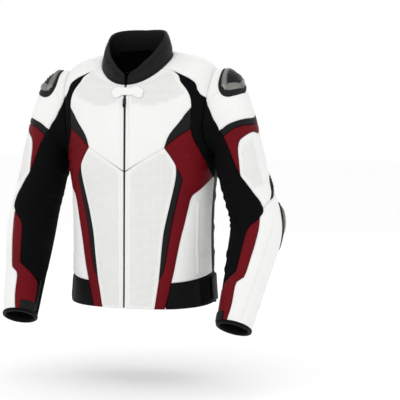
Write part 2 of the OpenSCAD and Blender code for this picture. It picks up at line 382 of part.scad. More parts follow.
module elbow_slider_l() { color(METAL) guard(ELBOW, [312, 308], 5, 10); }
module elbow_slider_r() { mirror([1, 0, 0]) elbow_slider_l(); }
module cuff_tab_l() { color(LEATHER_BLACK) tab(1, 112, 168, 536, 559, 5, 1, 1.2, 3.2); }
module cuff_tab_r() { mirror([1, 0, 0]) cuff_tab_l(); }

front_chest_l();
front_chest_r();
front_belly_l();
front_belly_r();
front_red_l();
front_red_r();
front_wedges();
front_strips();
side_panel_l();
side_panel_r();
shoulder_stretch_l();
shoulder_stretch_r();
shoulder_white_l();
shoulder_white_r();
back_neck();
back_yoke();
back_v();
back_white_l();
back_white_r();
back_reds_inner();
back_red_l();
back_red_r();
back_stretch_l();
back_stretch_r();
back_sides();
hem_band();
collar();
lining();
main_zip();
main_slider();
main_puller();
collar_tab();
waist_strap_l();
waist_strap_r();
pocket_zips();
sleeve_caps();
arm_bands_black();
arm_bands_red();
upper_sleeve_l();
upper_sleeve_r();
arm_stretches();
elbow_stretch_l();
elbow_stretch_r();
accordion_l();
accordion_r();
elbow_patch_l();
elbow_patch_r();
forearm_l();
forearm_r();
forearm_red_l();
forearm_red_r();
forearm_stretch_l();
forearm_stretch_r();
shoulder_cups();
elbow_slider_l();
elbow_slider_r();
cuff_l();
cuff_r();
cuff_tab_l();
cuff_tab_r();
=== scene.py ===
import bmesh
import bpy
import math
import numpy as np
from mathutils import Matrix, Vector
from mathutils.geometry import delaunay_2d_cdt


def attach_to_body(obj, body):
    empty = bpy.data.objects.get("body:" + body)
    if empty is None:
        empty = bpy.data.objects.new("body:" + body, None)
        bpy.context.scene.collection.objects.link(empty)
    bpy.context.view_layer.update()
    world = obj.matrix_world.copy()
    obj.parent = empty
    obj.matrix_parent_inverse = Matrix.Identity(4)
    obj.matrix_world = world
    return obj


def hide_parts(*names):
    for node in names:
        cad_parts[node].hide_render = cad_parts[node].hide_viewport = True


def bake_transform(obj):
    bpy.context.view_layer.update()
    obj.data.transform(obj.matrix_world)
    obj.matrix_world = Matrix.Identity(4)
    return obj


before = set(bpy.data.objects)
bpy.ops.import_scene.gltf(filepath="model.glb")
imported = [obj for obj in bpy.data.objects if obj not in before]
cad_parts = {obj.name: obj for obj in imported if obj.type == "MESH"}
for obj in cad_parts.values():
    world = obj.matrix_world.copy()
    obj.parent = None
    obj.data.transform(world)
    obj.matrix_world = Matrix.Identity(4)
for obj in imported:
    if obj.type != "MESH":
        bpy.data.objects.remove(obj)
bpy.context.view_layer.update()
MM = 0.001

# ---------------------------------------------------------------- surfaces
# Millimetres in the CAD frame. body(th, h): th 0 is the centre front and 90 the wearer's left, h goes
# down from the neck seam. arm(phi, t): phi 0 is the outer side and 90 the front, t goes down from the
# armhole. The wearer's right side is the mirror of the left.

# height, half width, front y, back y and side y of the body's rings
RINGS = np.array([
    [-610, 179, -143, 110, -14], [-570, 178, -143, 108, -14],
    [-520, 174, -142, 106, -14], [-430, 170, -141, 102, -13],
    [-340, 172, -140, 104, -14], [-250, 182, -139, 110, -17],
    [-180, 192, -138, 111, -20], [-130, 197, -137, 106, -24]], float)
CHEST_H = -130.0
HEM_TOP = ([0, 36, 49, 67, 91, 135, 180], [-515, -515, -512, -506, -498, -490, -488])
HEM_LOW = ([0, 40, 65, 95, 135, 180], [-577, -576, -573, -569, -582, -590])
BAND_H, HEM_H = -495, -570
NECK_Y = -56


def around(th):
    """angle from the centre front, 0 to 180"""
    return np.abs((th + 180) % 360 - 180)


def ring_value(z, col):
    """smooth value of one column of RINGS at height z"""
    t, v = RINGS[:, 0], RINGS[:, col]
    d = np.diff(v)/np.diff(t)
    m = np.empty_like(v)
    m[0], m[-1] = d[0], (0 if col == 1 else d[-1])
    m[1:-1] = (v[2:] - v[:-2])/(t[2:] - t[:-2])
    z = np.clip(z, t[0], t[-1])
    i = np.clip(np.searchsorted(t, z, side="right") - 1, 0, len(t) - 2)
    h = t[i + 1] - t[i]
    s = (z - t[i])/h
    return hermite(s, v[i], v[i + 1], h*m[i], h*m[i + 1])


def hermite(s, p1, p2, m1, m2):
    return ((2*s**3 - 3*s**2 + 1)*p1 + (s**3 - 2*s**2 + s)*m1
            + (-2*s**3 + 3*s**2)*p2 + (s**3 - s**2)*m2)


def bezier(s, a, b, c, d):
    return (1 - s)**3*a + 3*s*(1 - s)**2*b + 3*s*s*(1 - s)*c + s**3*d


def height(th, h):
    """z of the chart row h: straight down to the waist, then following the slanted hem band"""
    top, low = np.interp(around(th), *HEM_TOP), np.interp(around(th), *HEM_LOW)
    return np.where(h > -400, h, np.where(h > BAND_H, -400 + (h + 400)/-95*(top + 400),
                                          top + (h - BAND_H)/(HEM_H - BAND_H)*(low - top)))


def ring(th, h):
    r = np.radians(th)
    a, yf, yb, ys = (ring_value(h, c) for c in (1, 2, 3, 4))
    q = 1 + 0.05*np.sin(2*r)**2
    s, c = np.sin(r), np.cos(r)
    y = np.where(c >= 0, ys + (yf - ys)*c*q, ys - (yb - ys)*c*q)
    return np.stack([a*s*q, y, height(th, h)], -1)


def neck(th):
    """the neck seam, low at the front"""
    r = np.radians(th)
    f = (1 + np.cos(r))/2
    return np.stack([84*np.sin(r), NECK_Y - 72*np.cos(r), 22 - 74*f**2.4 + 14*(1 - f)**2], -1)


def body(th, h):
    th, h = np.broadcast_arrays(np.asarray(th, float), np.asarray(h, float))
    r = np.radians(th)
    s = np.clip(h/CHEST_H, 0, 1)[..., None]
    top, chest = neck(th), ring(th, np.full(th.shape, CHEST_H))
    d = np.hypot(chest[..., 0] - top[..., 0], chest[..., 1] - top[..., 1])
    s2 = np.sin(r)**2
    knee = np.stack([chest[..., 0]*(1 + 0.05*s2), chest[..., 1], top[..., 2] - 0.27*d + 26*s2], -1)
    f = (0.62 + 0.26*s2 + 0.10*(np.cos(r) > 0)*np.cos(r)**2)[..., None]
    up = bezier(s, top, top + f*(knee - top), chest + f*(knee - chest), chest)
    return np.where((h > CHEST_H)[..., None], up, ring(th, np.minimum(h, CHEST_H)))


SHOULDER = np.array([203, -39, -81.0])
ELBOW = np.array([294, -24, -379.0])
WRIST = np.array([272, -144, -612.0])
UPPER_LEN = np.linalg.norm(ELBOW - SHOULDER)
UPPER_DIR = (ELBOW - SHOULDER)/UPPER_LEN
FORE_DIR = (WRIST - ELBOW)/np.linalg.norm(WRIST - ELBOW)
BEND = 45.0                                     # half length of the rounded elbow
T_TUBE = 170.0                                  # where the sleeve head becomes a tube
T_END = 569
TUBE_T = [0, 100, 200, 270, 330, 400, 480, 570]
TUBE_FRONT = [64, 61, 62, 61, 64, 59, 51, 43]   # radius towards the front and back
TUBE_SIDE = [60, 57, 57, 57, 58, 53, 46, 39]    # radius towards the side


def path(t):
    """centre line of the sleeve"""
    t = np.asarray(t, float)
    a, b = SHOULDER + t[..., None]*UPPER_DIR, ELBOW + (t - UPPER_LEN)[..., None]*FORE_DIR
    s = np.clip((t - UPPER_LEN + BEND)/(2*BEND), 0, 1)[..., None]
    q = (1 - s)**2*(ELBOW - UPPER_DIR*BEND) + 2*s*(1 - s)*ELBOW + s*s*(ELBOW + FORE_DIR*BEND)
    return np.where((t < UPPER_LEN - BEND)[..., None], a, np.where((t > UPPER_LEN + BEND)[..., None], b, q))


def tube(phi, t):
    s = np.clip((t - UPPER_LEN + BEND)/(2*BEND), 0, 1)[..., None]
    along = (1 - s)*UPPER_DIR + s*FORE_DIR
    along /= np.linalg.norm(along, axis=-1, keepdims=True)
    out = np.array([1.0, 0, 0]) - along[..., :1]*along
    out /= np.linalg.norm(out, axis=-1, keepdims=True)
    front = np.cross(along, out)
    front = front*np.where(front[..., 1:2] > 0, -1, 1)
    p = np.radians(phi)

    def radius(row):
        return (np.interp(t, TUBE_T, row)*0.5 + np.interp(t - 18, TUBE_T, row)*0.25
                + np.interp(t + 18, TUBE_T, row)*0.25)
    return (path(t) + (radius(TUBE_SIDE)*np.cos(p))[..., None]*out
            + (radius(TUBE_FRONT)*np.sin(p))[..., None]*front)


ARMHOLE = (90, -140)                            # its centre on the body, degrees and mm
ARMHOLE_DROP = 75


def armhole_th(phi):
    s = np.sin(np.radians(phi))
    return ARMHOLE[0] - np.where(s > 0, 32, 20)*s


def arm(phi, t):
    phi, t = np.broadcast_arrays(np.asarray(phi, float), np.asarray(t, float))
    c = np.cos(np.radians(phi))
    seam = body(armhole_th(phi), ARMHOLE[1] + ARMHOLE_DROP*c)
    end = tube(phi, np.full(phi.shape, T_TUBE))
    s = np.clip(t/T_TUBE, 0, 1)[..., None]
    out = seam + (48 + 30*c)[..., None]*np.array([0.99, 0, 0.13])
    back = end - (72 + 42*c)[..., None]*UPPER_DIR + (14*np.clip(c, 0, 1))[..., None]*np.array([1.0, 0, 0])
    head = bezier(s, seam, out, back, end)
    return np.where((t < T_TUBE)[..., None], head, tube(phi, np.maximum(t, T_TUBE)))


SURFACE = {"b": body, "a": arm}
MM_PER_DEG = {"b": 3.0, "a": 1.05}


def frame_at(k, u, v):
    """point and outward unit normal on surface k"""
    f = SURFACE[k]
    u, v = np.asarray(u, float), np.asarray(v, float)
    w = np.minimum(v, -2.0) if k == "b" else np.maximum(v, 2.0)
    n = -np.cross(f(u + 1, w) - f(u - 1, w), f(u, w - 2) - f(u, w + 2))
    return f(u, v), n/np.maximum(np.linalg.norm(n, axis=-1, keepdims=True), 1e-9)


def slip(k, u, v):
    """degrees that the seams of the wearer's right front sit closer to the centre front"""
    if k != "b":
        return 0*u
    ramp = np.interp(-v, [245, 310, 345, 440, 512, 570], [0, 2.2, 3.2, 3.9, 5.4, 6.0])
    return ramp*np.clip(u/22, 0, 1)*np.clip((100 - u)/40, 0, 1)


# ---------------------------------------------------------------- noise and folds
LATTICE = np.random.default_rng(7).random((17, 17, 17))


def noise(p):
    """smooth value noise, -1 to 1"""
    p = np.asarray(p, float)
    i = np.floor(p).astype(int)
    f = p - i
    f = f*f*(3 - 2*f)
    out = 0
    for corner in np.ndindex(2, 2, 2):
        c = np.array(corner)
        w = np.prod(np.where(c, f, 1 - f), axis=-1)
        j = (i + c) % 17
        out = out + w*LATTICE[j[..., 0], j[..., 1], j[..., 2]]
    return out*2 - 1


# folds: start, end (chart coordinates), half width and height in mm
BODY_FOLDS = [
    ((40, -166), (66, -174), 4, 3.0), ((38, -184), (72, -198), 5, 3.6), ((40, -206), (76, -226), 5, 3.0),
    ((46, -236), (80, -250), 6, 2.4), ((43, -262), (56, -330), 5, 1.6), ((10, -290), (34, -262), 8, 1.1),
    ((8, -345), (32, -310), 8, 1.2), ((8, -410), (30, -372), 8, 1.0), ((68, -345), (95, -318), 8, 2.2),
    ((66, -400), (96, -380), 8, 1.8), ((50, -455), (92, -440), 8, 2.0), ((98, -300), (126, -330), 8, 2.2),
    ((97, -380), (124, -395), 7, 2.0), ((100, -450), (130, -440), 8, 1.8),
    ((140, -320), (178, -345), 10, 1.6), ((142, -430), (178, -420), 10, 1.6),
    ((118, -180), (142, -215), 7, 1.4), ((8, -470), (26, -455), 8, 0.9), ((60, -110), (54, -180), 5, 1.6)]
ARM_FOLDS = [
    ((95, 205), (215, 222), 7, 1.7), ((90, 228), (225, 240), 7, 2.0), ((85, 252), (215, 258), 7, 2.1),
    ((80, 274), (212, 278), 7, 2.0), ((92, 298), (214, 296), 7, 1.7), ((98, 322), (210, 318), 7, 1.5),
    ((110, 172), (230, 190), 6, 2.2), ((140, 90), (215, 140), 7, 2.2), ((20, 286), (62, 306), 6, 1.8),
    ((-20, 262), (40, 282), 6, 1.6), ((-95, 262), (-40, 270), 6, 1.8), ((-120, 300), (-70, 330), 7, 2.0),
    ((-20, 415), (60, 432), 7, 1.6), ((-90, 430), (-20, 418), 7, 1.6), ((-60, 505), (40, 515), 7, 1.6),
    ((10, 545), (85, 538), 6, 1.3), ((100, 400), (205, 412), 7, 2.2), ((105, 448), (215, 440), 7, 2.0),
    ((-10, 60), (50, 118), 7, 1.0), ((10, 150), (60, 205), 8, 1.6), ((-55, 130), (-15, 190), 8, 1.6),
    ((80, 120), (100, 170), 6, 1.6)]


def fold(start, end, width, high, q):
    """height of one soft fold line at the chart points q, all in mm"""
    a, b = np.array(start, float), np.array(end, float)
    length = np.linalg.norm(b - a)
    t = (b - a)/length
    s, n = (q - a) @ t, (q - a) @ np.array([-t[1], t[0]])
    n = n + 6*np.sin(s/length*math.pi)
    g = np.exp(-(n/width)**2) - 0.55*np.exp(-((n - 1.6*width)/width)**2)
    return high*g*np.clip(np.minimum(s, length - s)/(0.3*length), 0, 1)*((s > 0) & (s < length))


def relief(k, u, v, at):
    """height of the creases and slack of the leather in mm"""
    scale = MM_PER_DEG[k]
    uu = (u + 180) % 360 - 180
    uu = np.abs(uu) if k == "b" else np.where(uu < -140, uu + 360, uu)
    q = np.stack([uu*scale, v], -1)
    r = 1.1*noise(at/95.0 + 3.1) + 0.45*noise(at/38.0 + 9.7)
    for a, b, width, high in (BODY_FOLDS if k == "b" else ARM_FOLDS):
        r = r + fold((a[0]*scale, a[1]), (b[0]*scale, b[1]), width, high, q)
    if k == "b":
        return r*np.clip((np.abs(at[..., 0]) - 6)/14, 0, 1)*np.clip((-5 - v)/25, 0, 1)
    return r*np.clip((v - 2)/22, 0.1, 1)*np.clip((568 - v)/20, 0.1, 1)


# ---------------------------------------------------------------- materials
class Shader:
    """one material, with short calls for making and joining its nodes"""

    def __init__(self, name):
        self.material = bpy.data.materials.new(name)
        self.material.use_nodes = True
        self.tree = self.material.node_tree
        self.surface = self.tree.nodes["Principled BSDF"]

    def feed(self, node, key, value):
        """value is another node's output or a plain value"""
        if isinstance(value, bpy.types.NodeSocket):
            self.tree.links.new(value, node.inputs[key])
        else:
            node.inputs[key].default_value = value

    def node(self, kind, inputs, **settings):
        n = self.tree.nodes.new("ShaderNode" + kind)
        for key, value in settings.items():
            setattr(n, key, value)
        for key, value in inputs.items():
            self.feed(n, key, value)
        return n

    def noise(self, place, scale, detail, twist=0.0):
        return self.node("TexNoise", {"Vector": place, "Scale": scale, "Detail": detail, "Distortion": twist})

    def remap(self, value, low, high, to_low=0.0, to_high=1.0):
        spans = {"From Min": low, "From Max": high, "To Min": to_low, "To Max": to_high}
        return self.node("MapRange", {"Value": value, **spans}).outputs["Result"]

    def math(self, operation, *values):
        return self.node("Math", dict(enumerate(values)), operation=operation).outputs[0]

    def mix(self, factor, a, b, **settings):
        node = self.node("Mix", {"Factor": factor, "A": a, "B": b}, data_type="RGBA", **settings)
        return node.outputs["Result"]

    def attribute(self, name):
        return self.node("Attribute", {}, attribute_name=name).outputs["Fac"]

    def bump(self, height, depth, before):
        node = self.node("Bump", {"Height": height, "Strength": 1.0, "Distance": depth})
        if before:
            self.feed(node, "Normal", before)
        return node.outputs["Normal"]


def pebbles(s, place, scale):
    """cells of leather grain, bent a little by noise"""
    bend = s.node("Mix", {"Factor": 0.02, "A": place, "B": s.noise(place, scale*0.6, 4).outputs["Color"]},
                  data_type="VECTOR")
    cells = s.node("TexVoronoi", {"Vector": bend.outputs["Result"], "Scale": scale}, feature="DISTANCE_TO_EDGE")
    return s.remap(cells.outputs["Distance"], 0.0, 0.16)


def rib_wave(s, chart, pitch, u_share, v_share):
    turn = 2*math.pi/pitch
    split = s.node("SeparateXYZ", {0: chart})
    across = s.math("MULTIPLY", split.outputs["X"], u_share*turn)
    return s.math("SINE", s.math("MULTIPLY_ADD", split.outputs["Y"], v_share*turn, across))


def hole_mask(s, chart, pitch, radius):
    """1 inside the perforations: two square grids of dots, half a pitch apart"""
    gaps = []
    for offset in (0.0, 0.5):
        cell = s.node("VectorMath", {0: chart, 1: (1/pitch, 1/pitch, 0), 2: (offset, offset, 0)},
                      operation="MULTIPLY_ADD")
        spot = s.node("VectorMath", {0: cell.outputs[0]}, operation="FRACTION")
        gap = s.node("VectorMath", {0: spot.outputs[0], 1: (0.5, 0.5, 0)}, operation="DISTANCE")
        gaps.append(gap.outputs["Value"])
    edge = radius/pitch
    disc = s.remap(s.math("MINIMUM", *gaps), edge*0.8, edge*1.2, 1.0, 0.0)
    return s.math("MULTIPLY", disc, s.attribute("perf"))


def material(name, base, rough, grain=None, ribs=None, holes=None, metal=0.0, spec=0.5, dark=0.55,
             vary=0.06, wear=None):
    """Procedural surface: colour varied by noise and darkened by painted shade at seams, panel edges and
    grooves, bump from grain, ribs or holes.
    grain = (scale, depth); ribs = (pitch in metres, depth, u share, v share); holes = (pitch, radius)."""
    s = Shader(name)
    place = s.node("TexCoord", {}).outputs["Object"]
    chart = s.node("UVMap", {}, uv_map="chart").outputs["UV"]
    tint = s.node("ValToRGB", {"Fac": s.noise(place, 9, 5).outputs["Fac"]})
    low, high = tint.color_ramp.elements
    low.position, high.position = 0.3, 0.72
    low.color = [c*(1 - vary) for c in base] + [1]
    high.color = [min(1, c*(1 + vary)) for c in base] + [1]
    # painted shade: the colour is multiplied down towards the given shade level where the seam attribute nears
    # zero, at panel edges, seam lines and grooves
    seam = s.remap(s.attribute("seam"), 0.0, 1.7, dark, 1.0)
    colour = s.mix(1.0, tint.outputs["Color"], seam, blend_type="MULTIPLY")
    if wear:
        worn = s.remap(s.noise(place, 55, 8).outputs["Fac"], 0.56, 0.75)
        colour = s.mix(worn, colour, (*wear, 1))
    bumps = []
    s.surface.inputs["Roughness"].default_value = rough
    if grain:
        scale, depth = grain
        creases = s.noise(place, 70, 7, 1.2).outputs["Fac"]
        bumps += [(pebbles(s, place, scale), depth), (creases, depth*1.6)]
        s.feed(s.surface, "Roughness", s.remap(creases, 0.0, 1.0, rough - 0.07, rough + 0.1))
    if ribs:
        pitch, depth, u_share, v_share = ribs
        bumps.append((rib_wave(s, chart, pitch, u_share, v_share), depth))
    if holes:
        mask = hole_mask(s, chart, *holes)
        colour = s.mix(mask, colour, (*(c*0.56 for c in base), 1))
        bumps.append((s.math("SUBTRACT", 1.0, mask), 0.0006))
    s.feed(s.surface, "Base Color", colour)
    normal = None
    for height_value, depth in bumps:
        normal = s.bump(height_value, depth, normal)
    if normal:
        s.feed(s.surface, "Normal", normal)
    s.surface.inputs["Metallic"].default_value = metal
    s.surface.inputs["Specular IOR Level"].default_value = spec
    return s.material


HIDE = (560, 0.00016)                           # grain of the black leathers
WHITE = material("white_leather_m", (0.81, 0.81, 0.795), 0.50, grain=(620, 0.00010),
                 holes=(0.0052, 0.00080), vary=0.02, dark=0.86, spec=0.22)
RED = material("red_leather_m", (0.128, 0.0006, 0.0045), 0.46, grain=(620, 0.00012), vary=0.12, dark=0.45,
               spec=0.10)
BLACK = material("black_leather_m", (0.0055, 0.0058, 0.0065), 0.46, grain=HIDE, vary=0.15, dark=0.45,
                 spec=0.14)
# black leather made darker as painted shade, used on the hem band, the back sides under the arms, the waist
# straps and the cuffs
SHADED_BLACK = material("dark_leather_m", (0.0030, 0.0031, 0.0036), 0.48, grain=HIDE, vary=0.15, dark=0.45, spec=0.07)
# the ribbed leather and knit take their rib grooves down to 8 per cent of their colour, painted shade
RIBBED = material("ribbed_leather_m", (0.024, 0.0245, 0.0255), 0.50, grain=HIDE, vary=0.15, dark=0.08,
                  spec=0.06)
RIBKNIT = material("ribbed_knit_m", (0.015, 0.0155, 0.0165), 0.8, vary=0.15, dark=0.08, spec=0.03)
STRETCH = material("stretch_m", (0.0034, 0.0036, 0.0042), 0.88, ribs=(0.0026, 0.00030, 1.0, 0.0), vary=0.15,
                   dark=0.5, spec=0.06)
ELASTIC = material("elastic_m", (0.0030, 0.0030, 0.0036), 0.85, ribs=(0.0045, 0.0009, 1.0, 0.0), vary=0.15,
                   spec=0.10)
LINING = material("lining_m", (0.006, 0.006, 0.007), 0.9, ribs=(0.003, 0.0003, 0.7, 0.7), vary=0.2, spec=0.10)
METAL = material("guard_metal_m", (0.20, 0.20, 0.185), 0.30, metal=0.8, vary=0.12, dark=0.35,
                 wear=(0.12, 0.12, 0.11), spec=0.3)
RUBBER = material("guard_rubber_m", (0.006, 0.006, 0.0065), 0.55, grain=(900, 0.00008), vary=0.2, spec=0.18)
VENT = material("guard_vent_m", (0.010, 0.010, 0.011), 0.45, metal=0.4, vary=0.2, spec=0.2)
ZIP_METAL = material("zip_metal_m", (0.045, 0.045, 0.05), 0.4, metal=0.8, vary=0.15, spec=0.3)
ZIP_TAPE = material("zip_tape_m", (0.006, 0.006, 0.007), 0.85, ribs=(0.0016, 0.0002, 0.0, 1.0), vary=0.15,
                    spec=0.1)
THREAD_W = material("thread_white_m", (0.66, 0.66, 0.64), 0.6, vary=0.05, spec=0.2)
THREAD_R = material("thread_red_m", (0.085, 0.003, 0.008), 0.6, vary=0.1, spec=0.15)
THREAD_B = material("thread_black_m", (0.012, 0.012, 0.013), 0.6, vary=0.1, spec=0.15)


# ---------------------------------------------------------------- mesh helpers
SIDES = (("_l", False), ("_r", True))           # name ending, mirrored or not
FAR_FROM_SEAM = 9.0


def to_mesh(name, points, faces, mats, uv=None, attrs=None, face_mats=None, smooth=True):
    """object from points in mm; the seam attribute feeds the painted shade of the materials and the perf
    attribute their holes
    """
    points = np.asarray(points)
    me = bpy.data.meshes.new(name)
    me.from_pydata([tuple(p) for p in points*MM], [], [tuple(int(i) for i in f) for f in faces])
    me.update()
    for m in mats:
        me.materials.append(m)
    if smooth:
        me.polygons.foreach_set("use_smooth", [True]*len(me.polygons))
    if face_mats is not None:
        me.polygons.foreach_set("material_index", face_mats)
    corners = np.zeros(len(me.loops), int)
    me.loops.foreach_get("vertex_index", corners)
    chart = np.asarray(uv if uv is not None else points[:, [0, 2]]*MM, float)
    me.uv_layers.new(name="chart").data.foreach_set("uv", chart[corners].ravel())
    n = len(me.vertices)
    for key, values in {"seam": np.full(n, FAR_FROM_SEAM), "perf": np.zeros(n), **(attrs or {})}.items():
        layer = me.attributes.new(key, "FLOAT", "POINT")
        layer.data.foreach_set("value", np.asarray(values, np.float32))
    o = bpy.data.objects.new(name, me)
    bpy.context.scene.collection.objects.link(o)
    return o


def outward(o):
    """turn all faces of a closed mesh outwards"""
    b = bmesh.new()
    b.from_mesh(o.data)
    bmesh.ops.recalc_face_normals(b, faces=b.faces)
    b.to_mesh(o.data)
    b.free()
    return o


def mirrored(points, faces):
    return np.asarray(points)*np.array([-1, 1, 1]), [tuple(reversed(f)) for f in faces]


def sided(points, faces, mirror):
    return mirrored(points, faces) if mirror else (points, faces)


def unit(v):
    return v/np.maximum(np.linalg.norm(v, axis=-1, keepdims=True), 1e-9)


def resample(outline, scale, step, sharp=38):
    """closed outline in chart mm, evenly spaced, smooth where it turns less than sharp degrees"""
    p = np.array(outline, float)*np.array([scale, 1.0])
    n = len(p)
    corner = []
    for i in range(n):
        a, b = p[i] - p[i - 1], p[(i + 1) % n] - p[i]
        corner.append(abs(math.degrees(math.atan2(a[0]*b[1] - a[1]*b[0], a @ b))) > sharp)
    out = []
    for i in range(n):
        p1, p2 = p[i], p[(i + 1) % n]
        p0 = p1*2 - p2 if corner[i] else p[i - 1]
        p3 = p2*2 - p1 if corner[(i + 1) % n] else p[(i + 2) % n]
        length = np.linalg.norm(p2 - p1)
        d1 = min(1.0, length/max(np.linalg.norm(p1 - p0), 1e-6))
        d2 = min(1.0, length/max(np.linalg.norm(p3 - p2), 1e-6))
        m1, m2 = (p2 - p0)/(1 + 1/d1), (p3 - p1)/(1 + 1/d2)
        count = max(1, int(round(length/step)))
        out += [hermite(s, p1, p2, m1, m2) for s in np.arange(count)/count]
    return np.array(out)


def resample_open(line, scale, step=5.0):
    p = np.array(line, float)*np.array([scale, 1.0])
    out = [p[0]]
    for a, b in zip(p[:-1], p[1:]):
        count = max(1, int(round(np.linalg.norm(b - a)/step)))
        out += [a + (b - a)*i/count for i in range(1, count + 1)]
    return np.array(out)


def inside(p, loop):
    x, y = p[:, 0], p[:, 1]
    odd = np.zeros(len(p), bool)
    for (x1, y1), (x2, y2) in zip(loop, np.roll(loop, -1, 0)):
        m = (y1 > y) != (y2 > y)
        if m.any():
            odd[m] ^= x[m] < (x2 - x1)*(y[m] - y1)/(y2 - y1) + x1
    return odd


def distance(p, a, b):
    """least distance from each of p to the segments a-b, in batches that fit in memory"""
    out = np.full(len(p), 1e9)
    d = (b - a)[None]
    for i in range(0, len(p), 1500):
        q = p[i:i + 1500, None, :]
        t = np.clip(((q - a[None])*d).sum(-1)/np.maximum((d*d).sum(-1), 1e-9), 0, 1)
        out[i:i + 1500] = np.linalg.norm(q - (a[None] + t[..., None]*d), axis=-1).min(1)
    return out


def to_loop(p, loop):
    return distance(p, loop, np.roll(loop, -1, 0))


def to_line(p, line):
    return distance(p, line[:-1], line[1:])


def counterclockwise(loop):
    x, y = loop.T
    area = 0.5*np.sum(x*np.roll(y, -1) - np.roll(x, -1)*y)
    return loop[::-1] if area < 0 else loop


def left_of(tangent):
    t = unit(tangent)
    return np.stack([-t[:, 1], t[:, 0]], 1)


def inward(loop):
    return left_of(np.roll(loop, -1, 0) - np.roll(loop, 1, 0))


def lattice(loop, dx, dy):
    """triangular grid of points inside the loop"""
    lo, hi = loop.min(0), loop.max(0)
    x, y = np.meshgrid(np.arange(lo[0], hi[0], dx), np.arange(lo[1], hi[1], dy))
    x = x + (np.arange(x.shape[0]) % 2)[:, None]*dx/2
    g = np.stack([x.ravel(), y.ravel()], 1)
    return g[inside(g, loop)]


def triangulate(points, count):
    """triangles inside the loop made by the first count points, all counter-clockwise in the chart"""
    made = delaunay_2d_cdt([Vector(p) for p in points], [], [list(range(count))], 1, 1e-4)
    flat = np.array([tuple(v) for v in made[0]])
    triangles = []
    for f in made[2]:
        if len(f) != 3:
            continue
        (ax, ay), (bx, by), (cx, cy) = flat[list(f)]
        turn = (bx - ax)*(cy - ay) - (by - ay)*(cx - ax)
        triangles.append(tuple(f) if turn > 0 else tuple(f[::-1]))
    return flat, triangles


def shell(triangles, m):
    """faces of the top, of the bottom m points further on, and of the rim between them"""
    edges = dict.fromkeys((f[i], f[(i + 1) % 3]) for f in triangles for i in range(3))
    rim = [(a, b) for a, b in edges if (b, a) not in edges]
    bottom = [(c + m, b + m, a + m) for a, b, c in triangles]
    return triangles + bottom + [(b, a, a + m, b + m) for a, b in rim]


def wave(x, pitch):
    return np.abs(np.sin(math.pi*x/pitch))


def place(o, body_name, slot, *replaced):
    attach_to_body(o, body_name)
    if replaced:
        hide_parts(*replaced)


def attach(o, body_name, side, blend):
    """ride one body, or, when blend is set, only have the transform baked into the mesh"""
    if blend:
        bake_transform(o)
    else:
        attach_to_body(o, body_name.replace("%", side))


# ---------------------------------------------------------------- leather panels
STITCH_PITCH, STITCH_LEN = 4.4, 3.0
stitch_bank = {"b": [], "a": []}                # start, end, lift, material name, on both sides or not


def add_stitches(k, line, mat, lift, both):
    """stitches along an open line in chart mm"""
    s = np.concatenate([[0], np.cumsum(np.linalg.norm(np.diff(line, axis=0), axis=1))])
    n = int(s[-1]/STITCH_PITCH)
    if n < 2:
        return
    a = (np.arange(n) + 0.15)*s[-1]/n
    start, end = (np.stack([np.interp(x, s, line[:, j]) for j in (0, 1)], 1) for x in (a, a + STITCH_LEN))
    stitch_bank[k] += [(p, q, lift, mat.name, both) for p, q in zip(start, end)]


def edge_stitches(k, loop, gap, skip, mat, lift, both):
    """stitches inside a panel's edge, left out where two edges come close and where skip says"""
    r = loop + inward(loop)*gap
    ok = inside(r, loop) & (to_loop(r, loop) > 0.93*gap)
    if skip is not None:
        ok &= ~skip(r[:, 0]/MM_PER_DEG[k], r[:, 1])
    run = []
    for i in list(range(len(r))) + [0, None]:
        if i is not None and ok[i]:
            run.append(r[i])
            continue
        if len(run) > 3:
            add_stitches(k, np.array(run), mat, lift, both)
        run = []


def panel_points(loop, seams, step, ribs):
    """points for a panel's mesh: its edge, rows along the edge and the seams, and a lattice"""
    rows = [loop]
    for d in (1.5, 4.2):
        r = loop + inward(loop)*d
        rows.append(r[inside(r, loop) & (to_loop(r, loop) > 0.93*d)])
    dx, dy = step, step*0.87
    if ribs:
        fine = ribs[0]/3.2
        dx, dy = (fine, step) if ribs[2] == "u" else (step, fine)
    g = lattice(loop, dx, dy)
    g = g[to_loop(g, loop) > (5.0 if ribs else 4.2 + dx*0.45)]
    for line in seams:
        side = left_of(np.gradient(line, axis=0))
        if len(g):
            g = g[to_line(g, line) > 5.0]
        for d in (-4, -1.6, 0, 1.6, 4):
            r = line + side*d
            ok = inside(r, loop)
            ok[ok] = to_loop(r[ok], loop) > 1.2
            rows.append(r[ok])
    return np.vstack(rows + [g])


